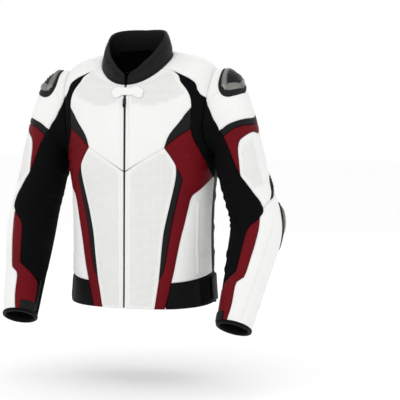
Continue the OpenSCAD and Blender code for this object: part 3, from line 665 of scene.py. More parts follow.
def panel(name, k, outline, mat, nodes, body_name="jacket", blend=False, both=True, step=6.5, crown=2.2,
          lines=(), holes=None, ribs=None, thick=2.4, base=0.0, stitch=3.4, nostitch=None, flat_front=False,
          edge=-0.9, sharp=38):
    """A padded leather panel from an outline in chart coordinates: a closed thick mesh with rolled edges,
    grooves along lines and folds. ribs = (pitch, height, "u" or "v"); % in a name stands for the side."""
    scale = MM_PER_DEG[k]
    loop = counterclockwise(resample(outline, scale, 4.5, sharp))
    seams = [resample_open(line, scale) for line in lines]
    flat, triangles = triangulate(panel_points(loop, seams, step, ribs), len(loop))
    d = to_loop(flat, loop)
    u, v = flat[:, 0]/scale, flat[:, 1]
    at, out = frame_at(k, u, v)
    lift = (base + np.interp(d, [0, 0.7, 1.5, 2.8, 4.2], [edge, 0.2, 0.75, 0.95, 1.0])
            + 0.6*crown*(1 - np.exp(-np.maximum(d - 4, 0)/18.0)))
    for line in seams:
        gap = to_line(flat, line)
        lift = lift - 1.1*np.exp(-(gap/1.3)**2)
        d = np.minimum(d, gap + 0.8)
    lift = lift + relief(k, u, v, at)*np.clip(d/12, 0.25, 1)
    if ribs:
        crest = wave(flat[:, 0 if ribs[2] == "u" else 1], ribs[0])
        lift = lift + ribs[1]*(crest - 0.5)*np.clip((d - 1)/5, 0, 1)
    if flat_front:
        away = np.clip((np.abs(at[:, 0]) - 3.0)/9.0, 0, 1)
        lift = lift*away + (1 - away)*np.interp(d, [0, 1.2, 3.2], [-1.2, 0.3, 0.7])
    low = lift - thick if base > 1 else np.minimum(lift - thick, -thick)
    m = len(flat)
    faces = shell(triangles, m)
    if k == "a":                                # the sleeve's chart runs the other way round
        faces = [tuple(reversed(f)) for f in faces]
    uv = flat*MM
    if k == "b" and ((around(u) > 52) & (around(u) < 128)).mean() <= 0.6:
        uv = at[:, [0, 2]]*MM
    perf = np.zeros(m) if holes is None else holes(u, v)*(d > 6)
    # painted shade in the rib grooves: the seam distance falls to 0.1 in each groove
    if ribs:
        d = np.minimum(d, 0.1 + 1.9*crest)
    # the seam attribute, distance to the edges and seam lines, sets the painted shade in the materials
    attrs = {"seam": np.concatenate([d, np.zeros(m)]), "perf": np.concatenate([perf, np.zeros(m)])}
    if stitch:
        edge_stitches(k, loop, stitch, nostitch, mat, base + 1.2, both)
    for line in seams:
        add_stitches(k, line + left_of(np.gradient(line, axis=0))*3.2, mat, base + 0.8, both)
    for side, mirror in (SIDES if both else (("", False),)):
        foot, n = frame_at(k, u - slip(k, u, v), v) if mirror else (at, out)
        points, side_faces = sided(np.vstack([foot + n*lift[:, None], foot + n*low[:, None]]), faces, mirror)
        o = to_mesh(name + side, points, side_faces, [mat], np.vstack([uv, uv]), attrs)
        attach(o, body_name, side, blend)
        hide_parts(*[x.replace("%", side) for x in nodes])


# outlines: (degrees, mm) on the surface of the wearer's left side
def armhole(phi, k=1.0):
    """body chart point of the armhole seam, k times as far from its centre"""
    c = math.cos(math.radians(phi))
    return float(ARMHOLE[0] + k*(armhole_th(phi) - ARMHOLE[0])), float(ARMHOLE[1] + ARMHOLE_DROP*k*c)


def across(a, b, h, n=6):
    """n + 1 points along one row of the chart"""
    return [(a + (b - a)*i/n, h) for i in range(n + 1)]


def other_side(points):
    return [(360 - a, b) for a, b in points]


def turned(points, angle):
    return [(a + angle, b) for a, b in points]


NECK_H = -1.0
CENTRE = 0.62                                   # half of the gap at the front zip, degrees
ZIP_EDGE = [(CENTRE, -250), (0.65, -130), (0.9, -60), (1.3, NECK_H)]
INSERT_IN = [(60, -12), (53.5, -32), (47.8, -50), (46.8, -65), (47.2, -80), (48, -97), (48, -113),
             (48, -152), (51, -175), (58, -201), (68, -229), (86, -269)]
INSERT_OUT = [(60, -12), (56.2, -33), (56, -54), (56.8, -68), (55.6, -84), (57.5, -95)]
ARMHOLE_FRONT = [armhole(p) for p in (60, 70, 82, 100, 118, 136, 152, 166, 178)]
ARMHOLE_TOP = [armhole(p, 0.972) for p in (60, 40, 20, 0, -18, -36, -54)]
ARMHOLE_BACK = [armhole(p) for p in (-54, -70, -90, -110, -128)]
ARMPIT_BACK = [armhole(p) for p in (-166, -152, -140, -130)]
CHEST_V = [(29, -198), (15, -226), (CENTRE, -253)]
WEDGE_IN = [(48, -113), (42, -126), (38, -141), (33.5, -160), (31, -175), (29, -198)]
WEDGE_OUT = [(29, -198), (34, -183), (38, -172), (48, -153)]
BELLY_EDGE = [(29, -198), (35, -222), (39, -242), (39.5, -273), (36.5, -330), (32, -397), (29.5, -455),
              (28, -489)]
STRIP_OUT = [(39, -242), (43.5, -262), (45, -275), (44, -291), (41.5, -335), (38, -387), (34, -447),
             (31, -477), (28, -489)]
FRONT_RED_OUT = [(86, -269), (74, -284), (65, -297), (57, -309), (54.5, -321), (53, -340), (49.5, -380),
                 (45, -423), (41, -466), (38, -495)]
BACK_RED_IN = [(124, -61), (127.5, -76), (133, -96), (138, -107), (143, -118), (146, -133), (147, -149),
               (146, -165), (141, -201), (136, -237), (135, -251), (136, -303), (137, -373), (138, -495)]
BACK_RED_OUT = [(133, -96), (131.5, -110), (129, -124), (123, -153), (118, -175), (114, -194), (117.5, -207),
                (120, -220), (122, -245), (124, -306), (126, -360), (128, -495)]
NAPE_SIDE = [(134, NECK_H), (134.7, -20), (136.5, -40)]
NAPE_LOW = [(136.5, -40), (150, -48), (165, -51.5), (180, -52.5), (195, -51.5), (210, -48), (223.5, -40)]
STRIPE_OUT = [(145, -63), (150, -81), (153.5, -95), (159, -118), (162, -135), (165.3, -151)]
STRIPE_IN = [(145, -63), (155, -76), (162, -86), (165.5, -94), (167.3, -108), (168, -122), (167.2, -137),
             (165.3, -151)]


def chest_holes(u, v):
    low = np.interp(u, [4, 14, 20, 27, 45, 60], [-93, -103, -106, -98, -84, -70])
    return ((v > low) & (v < -13) & (u > 4))*1.0


def body_front():
    panel("front_chest", "b", ZIP_EDGE[3:] + across(4, 61, NECK_H, 7) + INSERT_IN[:7] + WEDGE_IN[1:]
          + CHEST_V[1:] + ZIP_EDGE[:3], WHITE, ["front_chest%"], crown=2.6, flat_front=True, holes=chest_holes,
          edge=0.0, lines=[[(3.3, -60), (3.1, -130), (3.1, -241)]], nostitch=lambda u, v: (u < 2.6) | (v > -5))
    panel("front_belly", "b", [(CENTRE, -255), (15, -226), (29, -198)] + BELLY_EDGE[1:]
          + [(26.5, -520), (24, -570), (CENTRE, -570)], WHITE, ["front_belly%"], crown=2.2, flat_front=True,
          edge=0.0, holes=lambda u, v: (u > 3.6)*(v > -564)*1.0,
          lines=[[(3.1, -258), (3.1, -400), (3.1, -568)]], nostitch=lambda u, v: u < 2.6)
    panel("front_wedge", "b", WEDGE_IN + WEDGE_OUT[1:], BLACK, ["front_wedges"], crown=1.4, step=5)
    panel("front_strip", "b", BELLY_EDGE[2:] + STRIP_OUT[::-1][1:-1], BLACK, ["front_strips"], crown=1.2,
          step=5)
    panel("front_red", "b", [(48, -153)] + INSERT_IN[8:] + FRONT_RED_OUT[1:]
          + [(35, -533), (32, -570), (24, -570), (26.5, -520)] + STRIP_OUT[::-1] + BELLY_EDGE[1:2]
          + WEDGE_OUT[:-1], RED, ["front_red%"], crown=2.8)
    panel("side_panel", "b", FRONT_RED_OUT + across(38, 93, -495, 7)[1:] + [(93, -400), (93, -330), (93, -269)],
          WHITE, ["side_panel%"], crown=2.6, lines=[[(63.5, -322), (63.5, -400), (63.5, -488)]])
    panel("shoulder_stretch", "b", INSERT_OUT + ARMHOLE_FRONT + [(93, -217), (93, -269), (86, -269)]
          + INSERT_IN[::-1][1:-1], STRETCH, ["shoulder_stretch%"], crown=1.8, ribs=(5.2, 1.3, "v"), stitch=0)
    panel("shoulder_white", "b", across(61, 133, NECK_H, 9) + NAPE_SIDE[1:]
          + [(141, -51), (144.5, -62), (134, -62), (124, -61), (121, -72), (115.5, -90), (110, -98)]
          + ARMHOLE_TOP[::-1] + INSERT_OUT[::-1], WHITE, ["shoulder_white%"], crown=2.6, edge=-0.2,
          lines=[[(90, -62), (88, -30), (86, -4)]])


def body_back():
    panel("back_neck", "b", NAPE_SIDE[:1] + across(136, 224, NECK_H, 10)[1:-1] + other_side(NAPE_SIDE)
          + NAPE_LOW[::-1][1:-1] + NAPE_SIDE[::-1][:-1], BLACK, ["back_neck"], both=False, crown=2.2)
    panel("back_yoke", "b", NAPE_LOW + other_side([(141, -51), (145, -63)] + STRIPE_IN[1:6])
          + across(192, 168, -122, 4)[1:-1] + STRIPE_IN[1:6][::-1] + [(145, -63), (141, -51)], WHITE,
          ["back_yoke"], both=False, crown=2.4)
    panel("back_red_inner", "b", STRIPE_IN + STRIPE_OUT[::-1][1:-1], RED, ["back_reds_inner"], crown=1.6,
          step=5)
    panel("back_v", "b", across(168, 192, -122, 5) + other_side(STRIPE_IN)[6:]
          + [(187, -203), (180, -243), (173, -203)] + STRIPE_IN[6:][::-1], BLACK, ["back_v"], both=False,
          crown=2.2)
    panel("back_white", "b", BACK_RED_IN + across(138, 180, -495, 6)[1:]
          + [(180, -400), (180, -320), (180, -243), (173, -203), (165.3, -151)] + STRIPE_OUT[::-1][1:]
          + [(134, -62)], WHITE, ["back_white%"], crown=2.4, lines=[[(139, -300), (158, -312), (179, -318)]])
    panel("back_red", "b", BACK_RED_OUT + [(133, -495), (138, -495)] + BACK_RED_IN[::-1][1:11], RED,
          ["back_red%"], crown=2.2)
    panel("back_stretch", "b", [(124.5, -62), (127.5, -76), (133, -96)] + BACK_RED_OUT[1:6] + [(108, -197)]
          + ARMHOLE_BACK[::-1] + [(110, -98), (115.5, -90), (121, -72)], RIBKNIT, ["back_stretch%"], crown=1.8,
          ribs=(5.2, 1.3, "v"), stitch=0)
    panel("back_side", "b", [(93, -217)] + ARMPIT_BACK + [(108, -197), (114, -194)] + BACK_RED_OUT[6:]
          + across(128, 93, -495, 5)[1:] + [(93, -400), (93, -300)], SHADED_BLACK, ["back_sides"], crown=2.4)


def hem_band():
    """leather and elastic pieces in turn; foot is where a piece ends at the bottom, so the first one slants"""
    top, low = -495.5, -570
    for name, start, end, foot, mat in (("a", 38, 66, 32.4, SHADED_BLACK), ("b", 66, 84, 66, ELASTIC),
                                        ("c", 84, 108, 84, SHADED_BLACK), ("d", 108, 132, 108, ELASTIC)):
        ribs = (6.5, 2.2, "u") if mat is ELASTIC else None
        panel("hem_band_" + name, "b", across(start, end, top, 5) + across(end, foot, low, 5), mat,
              ["hem_band"], crown=3.2 if ribs else 2.6, ribs=ribs, step=5, stitch=0 if ribs else 3.4)
    panel("hem_band_back", "b", across(132, 228, top, 12) + across(228, 132, low, 12), SHADED_BLACK, ["hem_band"],
          both=False, crown=2.6, lines=[[(134, -551), (180, -551), (226, -551)]])


# sleeve outlines: front and back edges of the outer leather, then the seams across it
FRONT_UP = [(60, 1), (66, 5), (71, 11), (81, 33), (90, 72), (89.5, 95), (87, 120), (84, 154), (77, 189),
            (70, 208), (58, 241), (51, 258), (49, 277)]
FRONT_LOW = [(49, 277), (53, 290), (62, 302), (75, 318), (86, 333), (93, 357), (95, 381), (97, 422), (99, 451),
             (107, 458), (143, 480), (160, 492), (165, 505), (165, T_END)]
BACK_UP = [(-56, 1), (-58, 20), (-62, 55), (-64, 84), (-65, 137), (-63, 186)]
BACK_LOW = [(297, 187), (280, 190), (256, 206), (242, 232), (232, 253), (221, 271), (222, 290), (224, 319),
            (229, 357), (234, 395), (243, 453), (259, 466), (262, 490), (264, 538), (265, T_END)]
BLACK_TOP = [(90, 72), (76, 85), (58, 99), (34, 110), (8, 116), (-16, 113), (-47, 99)]
RED_TOP = [(89.5, 95), (76, 101), (62, 108), (36, 118.5), (10, 124), (-20, 116), (-47, 99)]
RED_LOW = [(77, 189), (72, 162), (68, 143), (63, 134), (58, 131), (40, 131), (21, 132.5), (0, 137),
           (-12, 135), (-23, 131), (-47, 112), (-64.3, 92)]
RIBS_TOP = [(-63, 186.5), (-45, 191), (-22, 201), (-8, 210), (0, 217), (5, 232), (10, 248), (24, 264)]
RIBS_LOW = [(24, 264), (6, 258), (-7, 248), (-20, 241), (-40, 237), (-70, 235), (-100, 233), (-118, 232)]
ELBOW_SEAM = [(24, 264), (36, 269), (49, 277)]
CUFF_RED = [(62, 302), (65, 328), (65.5, 382), (68, 420), (70, 445), (73, 462), (84, 471), (90, 476),
            (93, 488), (92, 533), (98, T_END)]


def sleeve():
    panel("sleeve_cap", "a", [(-56, 1)] + across(-44, 48, 1, 8) + FRONT_UP[:5] + BLACK_TOP[1:] + [(-64.3, 80)]
          + BACK_UP[::-1][3:-1], WHITE, ["sleeve_caps"], crown=2.4, edge=-0.2,
          lines=[[(52, 24), (60, 15), (66, 8)]])
    panel("arm_band_black", "a", BLACK_TOP + RED_TOP[::-1][1:], BLACK, ["arm_bands_black"], crown=1.2, step=4.5)
    panel("arm_band_red", "a", RED_TOP + [(-64.3, 80), (-64.3, 89)] + RED_LOW[::-1][1:] + FRONT_UP[5:8][::-1],
          RED, ["arm_bands_red"], crown=1.8, step=5, blend=True)
    panel("upper_sleeve", "a", RED_LOW + [(-65, 137)] + RIBS_TOP + ELBOW_SEAM[1:] + FRONT_UP[8:-1][::-1][:-1],
          WHITE, ["upper_sleeve%"], crown=2.4, blend=True,
          holes=lambda u, v: ((u > 28) & (v > 140) & (v < 226))*1.0)
    panel("arm_stretch", "a", FRONT_UP[:-1] + FRONT_LOW + across(165, 265, T_END, 6)[1:-1] + BACK_LOW[::-1]
          + turned(BACK_UP[::-1][:-1], 360) + across(304, 60, 1, 14)[:-1], STRETCH,
          ["arm_stretches", "elbow_stretch%", "forearm_stretch%"], crown=1.4, blend=True,
          ribs=(5.2, 1.2, "v"), stitch=0)
    panel("accordion", "a", RIBS_TOP + RIBS_LOW[1:] + turned(BACK_LOW[:4][::-1], -360)[1:], RIBBED,
          ["accordion%", "elbow_patch%"], crown=2.0, blend=True, ribs=(8.6, 4.6, "v"), stitch=0)
    panel("forearm", "a", RIBS_LOW[::-1] + ELBOW_SEAM[1:] + FRONT_LOW[1:3] + CUFF_RED[1:]
          + across(98, -95, T_END, 10)[1:] + turned(BACK_LOW[3:-1][::-1], -360)[:-1], WHITE, ["forearm%"],
          crown=2.2, blend=True, lines=[[(-52, 362), (-49, 440), (-49, 548)], [(-57, 242), (-53, 274)],
                                        [(30, 300), (36, 360), (40, 440), (48, 520), (52, 560)]])
    panel("forearm_red", "a", FRONT_LOW[2:] + across(165, 98, T_END, 4)[1:] + CUFF_RED[::-1][1:-1], RED,
          ["forearm_red%"], crown=1.8, blend=True)


def sew(k, leather, thread):
    """make the banked stitches of one leather, as pieces of thread"""
    rows = [r for r in stitch_bank[k] if r[3] == leather]
    if not rows:
        return
    start, end, banked = (np.array([r[j] for r in rows]) for j in (0, 1, 2))
    both = np.array([r[4] for r in rows])
    for side, mirror in SIDES:
        ends = []
        for p in (start, end, (start + end)/2):
            u, v = p[:, 0]/MM_PER_DEG[k], p[:, 1]
            foot, n = frame_at(k, u - slip(k, u, v)*mirror, v)
            ends.append((foot, n, (banked + relief(k, u, v, SURFACE[k](u, v))*0.29)[:, None]))
        (foot_a, n_a, lift_a), (foot_b, n_b, lift_b), (foot, n, lift) = ends
        a, b = foot_a + n_a*(lift_a - 0.35), foot_b + n_b*(lift_b - 0.35)
        middle, wide = foot + n*(lift - 0.1), unit(np.cross(b - a, n))*0.42
        threads = np.stack([a, middle + wide, b, middle - wide, foot + n*(lift + 0.42)], 1)
        clear = np.abs(threads[:, 4, 0]) > 3.5  # none on the zip
        threads = threads[clear & both] if mirror else threads[clear]
        first = 5*np.arange(len(threads))[:, None, None]
        faces = np.array([[0, 1, 4], [1, 2, 4], [2, 3, 4], [3, 0, 4], [1, 0, 3], [2, 1, 3]])
        points, faces = sided(threads.reshape(-1, 3), (faces + first).reshape(-1, 3).tolist(), mirror)
        name = "stitches_%s_%s%s" % (k, leather.split("_")[0], side)
        o = to_mesh(name, points, faces, [thread], smooth=False)
        attach(o, "jacket", side, k == "a")


body_front()
body_back()
hem_band()
sleeve()
for chart_name in ("b", "a"):
    sew(chart_name, "white_leather_m", THREAD_W)
    sew(chart_name, "red_leather_m", THREAD_R)
    sew(chart_name, "black_leather_m", THREAD_B)
    sew(chart_name, "dark_leather_m", THREAD_B)


# ---------------------------------------------------------------- collar
def collar_point(th, s, d):
    """s 0 is the neck seam and 1 the top edge, d is outwards in mm"""
    c = around(th)
    high = np.interp(c, [0, 12, 30, 60, 100, 180], [20, 26, 37, 42, 46, 40])
    reach = d - np.interp(c, [0, 60, 180], [3, 12, 12])*s
    r = math.radians(th)
    return neck(np.array(float(th))) + np.array([math.sin(r)*reach, -math.cos(r)*reach, 3 + high*s])


def capped_tube(name, rows, mat, uvs, attrs=None):
    """tube through loops with the same count of points, its ends closed with fans"""
    n, m = len(rows), len(rows[0])
    last = (n - 1)*m
    points = np.vstack(rows + [np.mean(rows[0], 0)[None], np.mean(rows[-1], 0)[None]])
    faces = []
    for j in range(m):
        k = (j + 1) % m
        faces += [(i*m + j, i*m + k, (i + 1)*m + k, (i + 1)*m + j) for i in range(n - 1)]
        faces += [(k, j, n*m), (last + j, last + k, n*m + 1)]
    full = {key: np.concatenate([a, np.zeros(2)]) for key, a in (attrs or {}).items()}
    return outward(to_mesh(name, points, faces, [mat], np.vstack([uvs, np.zeros((2, 2))]), full))


def collar():
    start, end, foot, top = 2.2, 357.8, -0.14, 0.99
    outer, rim, inner = 22, 7, 14
    rows, seam, uvs = [], [], []
    for th in np.concatenate([np.linspace(start, 8, 9), np.linspace(10, 350, 137), np.linspace(352, end, 9)]):
        e = min(th - start, end - th)
        tall = top*(1 - 0.30*math.exp(-e/3.0))  # front corners rounded off
        fat = np.interp(e, [0, 1.5, 6], [0.35, 0.8, 1.0])
        loop = []
        for i in range(outer):
            s = foot + (1 - foot)*i/(outer - 1)
            at = collar_point(th, s, 0)
            bulge = 2.8*math.sin(math.pi*min(1, max(s, 0)*1.02))**0.55
            groove = 1.7*math.exp(-((s - 0.74)/0.035)**2) + 1.2*math.exp(-((s - 0.05)/0.05)**2)
            slack = 0.8*float(noise(at/22.0 + 5)) + 0.5*float(noise(at/9.0))
            loop.append(collar_point(th, s*tall, 0.9 + (bulge + slack)*fat - groove))
            # painted shade in the groove under the top roll, carried by the seam attribute
            seam.append(min(abs(s - 0.74)*40, 6))
        for i in range(1, rim):
            a = math.pi*i/rim
            loop.append(collar_point(th, tall, -1.6 + 2.7*fat*math.cos(a)) + [0, 0, 3.4*fat*math.sin(a)])
        for i in range(inner):
            s = 1 - (1 - foot)*i/(inner - 1)
            hollow = 1.8*math.sin(math.pi*min(1, max(s, 0)))**0.6*fat
            loop.append(collar_point(th, s*tall, -4.2 - hollow))
        seam += [6]*(rim - 1 + inner)
        rows.append(loop)
        uvs += [(th*1.5*MM, j*2.4*MM) for j in range(len(loop))]
    o = capped_tube("collar_band", rows, BLACK, uvs, {"seam": seam})
    place(o, "jacket", "black_leather", "collar")


def collar_stitches():
    """two rows along the groove under the top roll and one at the foot"""
    points, faces = [], []
    for s, d in ((0.70, 3.2), (0.79, 3.0), (0.10, 2.0)):
        for th in np.arange(9, 351, 2.1):
            a, b = collar_point(th, s, d + 0.3), collar_point(th + 1.35, s, d + 0.3)
            c = (a + b)/2
            away, up = unit(c - [0, NECK_Y, c[2]]), np.array([0, 0, 0.45])
            i = len(points)
            points += [a, c + up, b, c - up, c + away*0.75]
            faces += [(i, i + 4, i + 1), (i + 1, i + 4, i + 2), (i + 2, i + 4, i + 3), (i + 3, i + 4, i),
                      (i + 1, i + 3, i), (i + 2, i + 3, i + 1)]
    place(outward(to_mesh("collar_stitches", points, faces, [THREAD_B], smooth=False)), "jacket",
          "black_leather")


# ---------------------------------------------------------------- front zip
CENTRE_LINE = body(np.zeros(400), np.linspace(-590, -2, 400))
CENTRE_LINE = CENTRE_LINE[np.argsort(CENTRE_LINE[:, 2])]
ZIP_Y = -134.6                                  # front of the tape at the slider


def front_y(z):
    return np.interp(z, CENTRE_LINE[:, 2], CENTRE_LINE[:, 1])


def add_box(points, faces, c, size, top=0.75):
    """box with three half sizes whose front is smaller by the factor top"""
    i = len(points)
    for y, shrink in ((1, 1.0), (-1, top)):
        points += [c + np.array([x*shrink, y, z*shrink])*size for x, z in ((-1, -1), (1, -1), (1, 1), (-1, 1))]
    faces += [tuple(i + q for q in f) for f in ((0, 1, 2, 3), (7, 6, 5, 4), (0, 4, 5, 1), (1, 5, 6, 2),
                                                (2, 6, 7, 3), (3, 7, 4, 0))]


def zip_chain():
    section = [(-9, 3.4), (-9, 2.4), (-3.2, 1.6), (3.2, 1.6), (9, 2.4), (9, 3.4), (3.2, 2.4), (-3.2, 2.4)]
    rows = [[np.array([x, front_y(z) + dy, z]) for x, dy in section] for z in np.arange(-575, -57, 6.0)]
    tape = capped_tube("zip_tape", rows, ZIP_TAPE, [(p[0]*MM, p[2]*MM) for r in rows for p in r])
    place(tape, "jacket", "zip_tape", "main_zip")
    points, faces = [], []
    for i, z in enumerate(np.arange(-572.0, -60, 1.55)):
        x = 0.8 if i % 2 else -0.8
        add_box(points, faces, np.array([x, front_y(z) + 0.9, z]), (1.5, 0.9, 0.62))
    place(outward(to_mesh("zip_teeth", points, faces, [ZIP_METAL], smooth=False)), "jacket", "zip_metal")


def bevelled(name, boxes, mat, body_name, slot, width, *replaced):
    """boxes (x, depth in front of the tape, z, half sizes, top) with rounded edges, as one piece"""
    points, faces = [], []
    for x, depth, z, *size, top in boxes:
        add_box(points, faces, np.array([x, ZIP_Y - depth, z]), size, top)
    o = outward(to_mesh(name, points, faces, [mat], smooth=False))
    bevel = o.modifiers.new("bevel", "BEVEL")
    bevel.width, bevel.segments = width*MM, 3
    bevel.limit_method, bevel.angle_limit = "ANGLE", 0.5
    rounded = bpy.data.meshes.new_from_object(o.evaluated_get(bpy.context.evaluated_depsgraph_get()))
    o.modifiers.clear()
    o.data = rounded
    place(o, body_name, slot, *replaced)


def zip_pull():
    bevelled("zip_slider", [(0, 2.5, -89.5, 4.2, 0.8, 6.2, 0.9), (0, 4.0, -84.2, 1.5, 1.7, 1.2, 0.9),
                            (0, 4.0, -94.0, 1.5, 1.7, 1.3, 0.9), (0, 5.2, -89, 1.5, 0.55, 5.6, 0.8)],
             ZIP_METAL, "main_slider_body", "zip_metal", 0.35, "main_slider")
    bevelled("zip_puller", [(0, 3.9, -90.0, 2.6, 0.5, 1.3, 0.9), (-2.4, 5.6, -91.5, 0.55, 0.7, 3.6, 0.9),
                            (2.4, 5.6, -91.5, 0.55, 0.7, 3.6, 0.9), (0, 6.6, -95.2, 2.6, 0.6, 1.0, 0.9)],
             ZIP_METAL, "main_puller_body", "zip_metal", 0.25, "main_puller")
    bevelled("zip_pull_leather", [(0, 7.3, -99.0, 2.7, 1.0, 4.6, 0.88), (0, 8.5, -99.0, 1.7, 0.35, 3.4, 0.9)],
             BLACK, "main_puller_body", "black_leather", 0.6)


# ---------------------------------------------------------------- tabs, straps, pockets
def tabs_and_pockets():
    """raised pieces without stitches, the first three on their own bodies"""
    bow = [(-11.5, -55), (-8.8, -31), (-5.0, -31), (-2.2, -37), (7.2, -37), (10.2, -29), (13.8, -29),
           (16.8, -55), (13.8, -81), (10.2, -81), (7, -72), (-2, -72), (-5.0, -81), (-8.8, -81)]
    panel("collar_tab_flap", "b", bow, WHITE, ["collar_tab"], body_name="collar_tab_body", both=False,
          crown=0.8, base=4.6, thick=2.6, step=3.5, stitch=0, edge=0, sharp=20)
    panel("waist_strap", "b", [(85, -507), (88, -503), (112, -503), (112, -563), (88, -563), (85, -559)], SHADED_BLACK,
          ["waist_strap%"], body_name="waist_strap%_body", crown=0.8, base=5.2, thick=2.6, step=4.5, edge=0,
          stitch=0)
    panel("cuff_tab", "a", [(112, 549), (116, 545), (164, 545), (168, 549), (168, 563), (164, 567), (116, 567),
                            (112, 563)], BLACK, ["cuff_tab%"], body_name="cuff_tab%_body", crown=0.6, base=4.0,
          thick=2.4, step=4, edge=0, stitch=0)
    panel("pocket_welt", "b", [(61.7, -324), (65.6, -324), (65.6, -486), (61.7, -486)], WHITE, ["pocket_zips"],
          crown=1.4, base=3.4, thick=2.6, step=3.5, edge=0, stitch=0)


# ---------------------------------------------------------------- hard guards
def signed_distance(p, loop):
    """positive inside the loop"""
    return to_loop(p, loop)*np.where(inside(p, loop), 1, -1)


def guard(name, outline, plate, vent, body_name, node, dome, rise):
    """rubber base with a domed metal plate and, in the plate, a ribbed vent when vent is an outline"""
    scale = MM_PER_DEG["a"]
    loop = counterclockwise(resample(outline, scale, 3.0))
    plate = counterclockwise(resample(plate, scale, 3.0))
    rows = [loop]
    for d in (0.7, 1.8):
        r = loop + inward(loop)*d
        rows.append(r[inside(r, loop) & (to_loop(r, loop) > 0.94*d)])
    for d in (-1.3, -0.5, 0.1, 0.8, 2.2):
        r = plate + inward(plate)*d
        ok = inside(r, loop) & (to_loop(r, plate) > 0.94*abs(d))
        ok[ok] = to_loop(r[ok], loop) > 2.4
        rows.append(r[ok])
    g = lattice(loop, 2.6, 2.3)
    g = g[to_loop(g, loop) > 3.2]
    gap = signed_distance(g, plate)
    g = g[(gap > 3.2) | (gap < -2.4)]
    if vent:
        vent = counterclockwise(resample(vent, scale, 2.5))
        rows += [vent + inward(vent)*d for d in (-1.2, 0.0, 0.5, 1.6)]
        gap = signed_distance(g, vent)
        g = g[(np.abs(gap) > 2.8) | (gap > 2.4)]
    flat, triangles = triangulate(np.vstack(rows + [g]), len(loop))
    m = len(flat)
    in_vent = signed_distance(flat, vent) if vent is not None else np.full(m, -99.0)
    in_plate = signed_distance(flat, plate)
    at, out = frame_at("a", flat[:, 0]/scale, flat[:, 1])
    lift = np.interp(to_loop(flat, loop), [0, 0.7, 1.8, 3.4, 9.0], [1.8, 4.0, 5.2, 5.6, 6.6])
    lift = lift + np.interp(in_plate, [-1.3, -0.5, 0.1, 0.8, 2.2], [0, -1.1, -1.1, 1.4, 2.2])
    lift = rise*(lift + dome*(1 - np.exp(-np.maximum(in_plate - 2.2, 0)/9.0)))
    lift = lift + 0.8*np.exp(-((in_vent + 3.0)/1.3)**2) - np.clip(in_vent + 0.6, 0, 1.8)*2.2
    ribs = np.maximum(0, np.sin(2*math.pi*(flat[:, 0]*0.3 + flat[:, 1]*0.95)/6.0))
    lift = lift + (in_vent > 1.6)*1.7*ribs
    points = np.vstack([at + out*lift[:, None], at + out*1.2])
    faces = [tuple(reversed(f)) for f in shell(triangles, m)]
    kinds = []
    for f in faces:
        ring_points = [i % m for i in f]
        metal = 2 if np.mean(in_vent[ring_points]) > 0.9 else 0
        kinds.append(1 if np.mean(in_plate[ring_points]) < 0.1 else metal)
    # painted shade in the groove round the plate and at the rim of the vent, carried by the seam attribute
    near = np.minimum(np.abs(in_vent)*1.2, np.abs(in_plate)*1.2) + 0.3
    attrs = {"seam": np.concatenate([near, np.zeros(m)])}
    for side, mirror in SIDES:
        o = to_mesh(name + side, *sided(points, faces, mirror), [METAL, RUBBER, VENT],
                    np.vstack([flat, flat])*MM, attrs, kinds)
        place(o, body_name.replace("%", side), "guard_metal", node.replace("%", side))


CUP = [(49, 27), (41, 20.5), (30, 18.5), (2, 17), (-14, 18), (-26, 21), (-37, 28), (-42, 38), (-39, 56),
       (-18, 71), (8, 79), (23, 75), (36, 68), (47, 58), (52, 48), (53, 37)]
CUP_PLATE = [(42, 30), (30, 24), (2, 22), (-14, 23), (-25, 26), (-33, 33), (-36, 42), (-32, 53), (-14, 64),
             (7, 71), (20, 67), (31, 60), (41, 50), (45, 40)]
CUP_VENT = [(36, 40), (24, 33), (8, 29), (-12, 29), (-24, 37), (-20, 51), (-6, 60), (13, 62), (25, 51)]
SLIDER = [(330, 271), (320, 276), (310, 282), (296, 285), (282, 287), (272, 297), (271, 312), (280, 323),
          (291, 333), (298, 345), (305, 355), (316, 358), (328, 355), (338, 338), (345, 317), (349, 297),
          (343, 278)]
SLIDER_PLATE = [(329, 278), (314, 286), (298, 292), (287, 300), (286, 309), (296, 319), (308, 329), (324, 332),
                (336, 320), (342, 299), (338, 283)]


# ---------------------------------------------------------------- cuffs
def cuffs():
    """inside of the sleeve's end, turned round its edge; the profile is t and the distance outwards"""
    profile = [(330, -5.2), (400, -5.2), (470, -5.2), (540, -5.0), (562, -4.6), (564.5, -3.0), (565.2, 0.2),
               (566.5, 2.2), (569, 2.9), (572, 2.4), (573.6, 0.4), (573.6, -3.6), (571, -6.0), (560, -6.6),
               (540, -6.6), (470, -6.4), (400, -6.4), (330, -6.4)]
    turn = np.arange(0, 360, 6.0)
    rings = []
    for t, d in profile:
        at, out = frame_at("a", turn, np.full(len(turn), min(t, float(T_END))))
        rings.append(at + out*d + max(0, t - T_END)*FORE_DIR)
    n, m = len(profile), len(turn)
    faces = [(((i + 1) % n)*m + j, ((i + 1) % n)*m + (j + 1) % m, i*m + (j + 1) % m, i*m + j)
             for i in range(n) for j in range(m)]
    uvs = [(p*0.8*MM, t*MM) for t, d in profile for p in turn]
    for side, mirror in SIDES:
        o = outward(to_mesh("cuff" + side, *sided(np.vstack(rings), faces, mirror), [SHADED_BLACK], uvs))
        place(o, "forearm" + side + "_body", "cuff_binding", "cuff" + side)


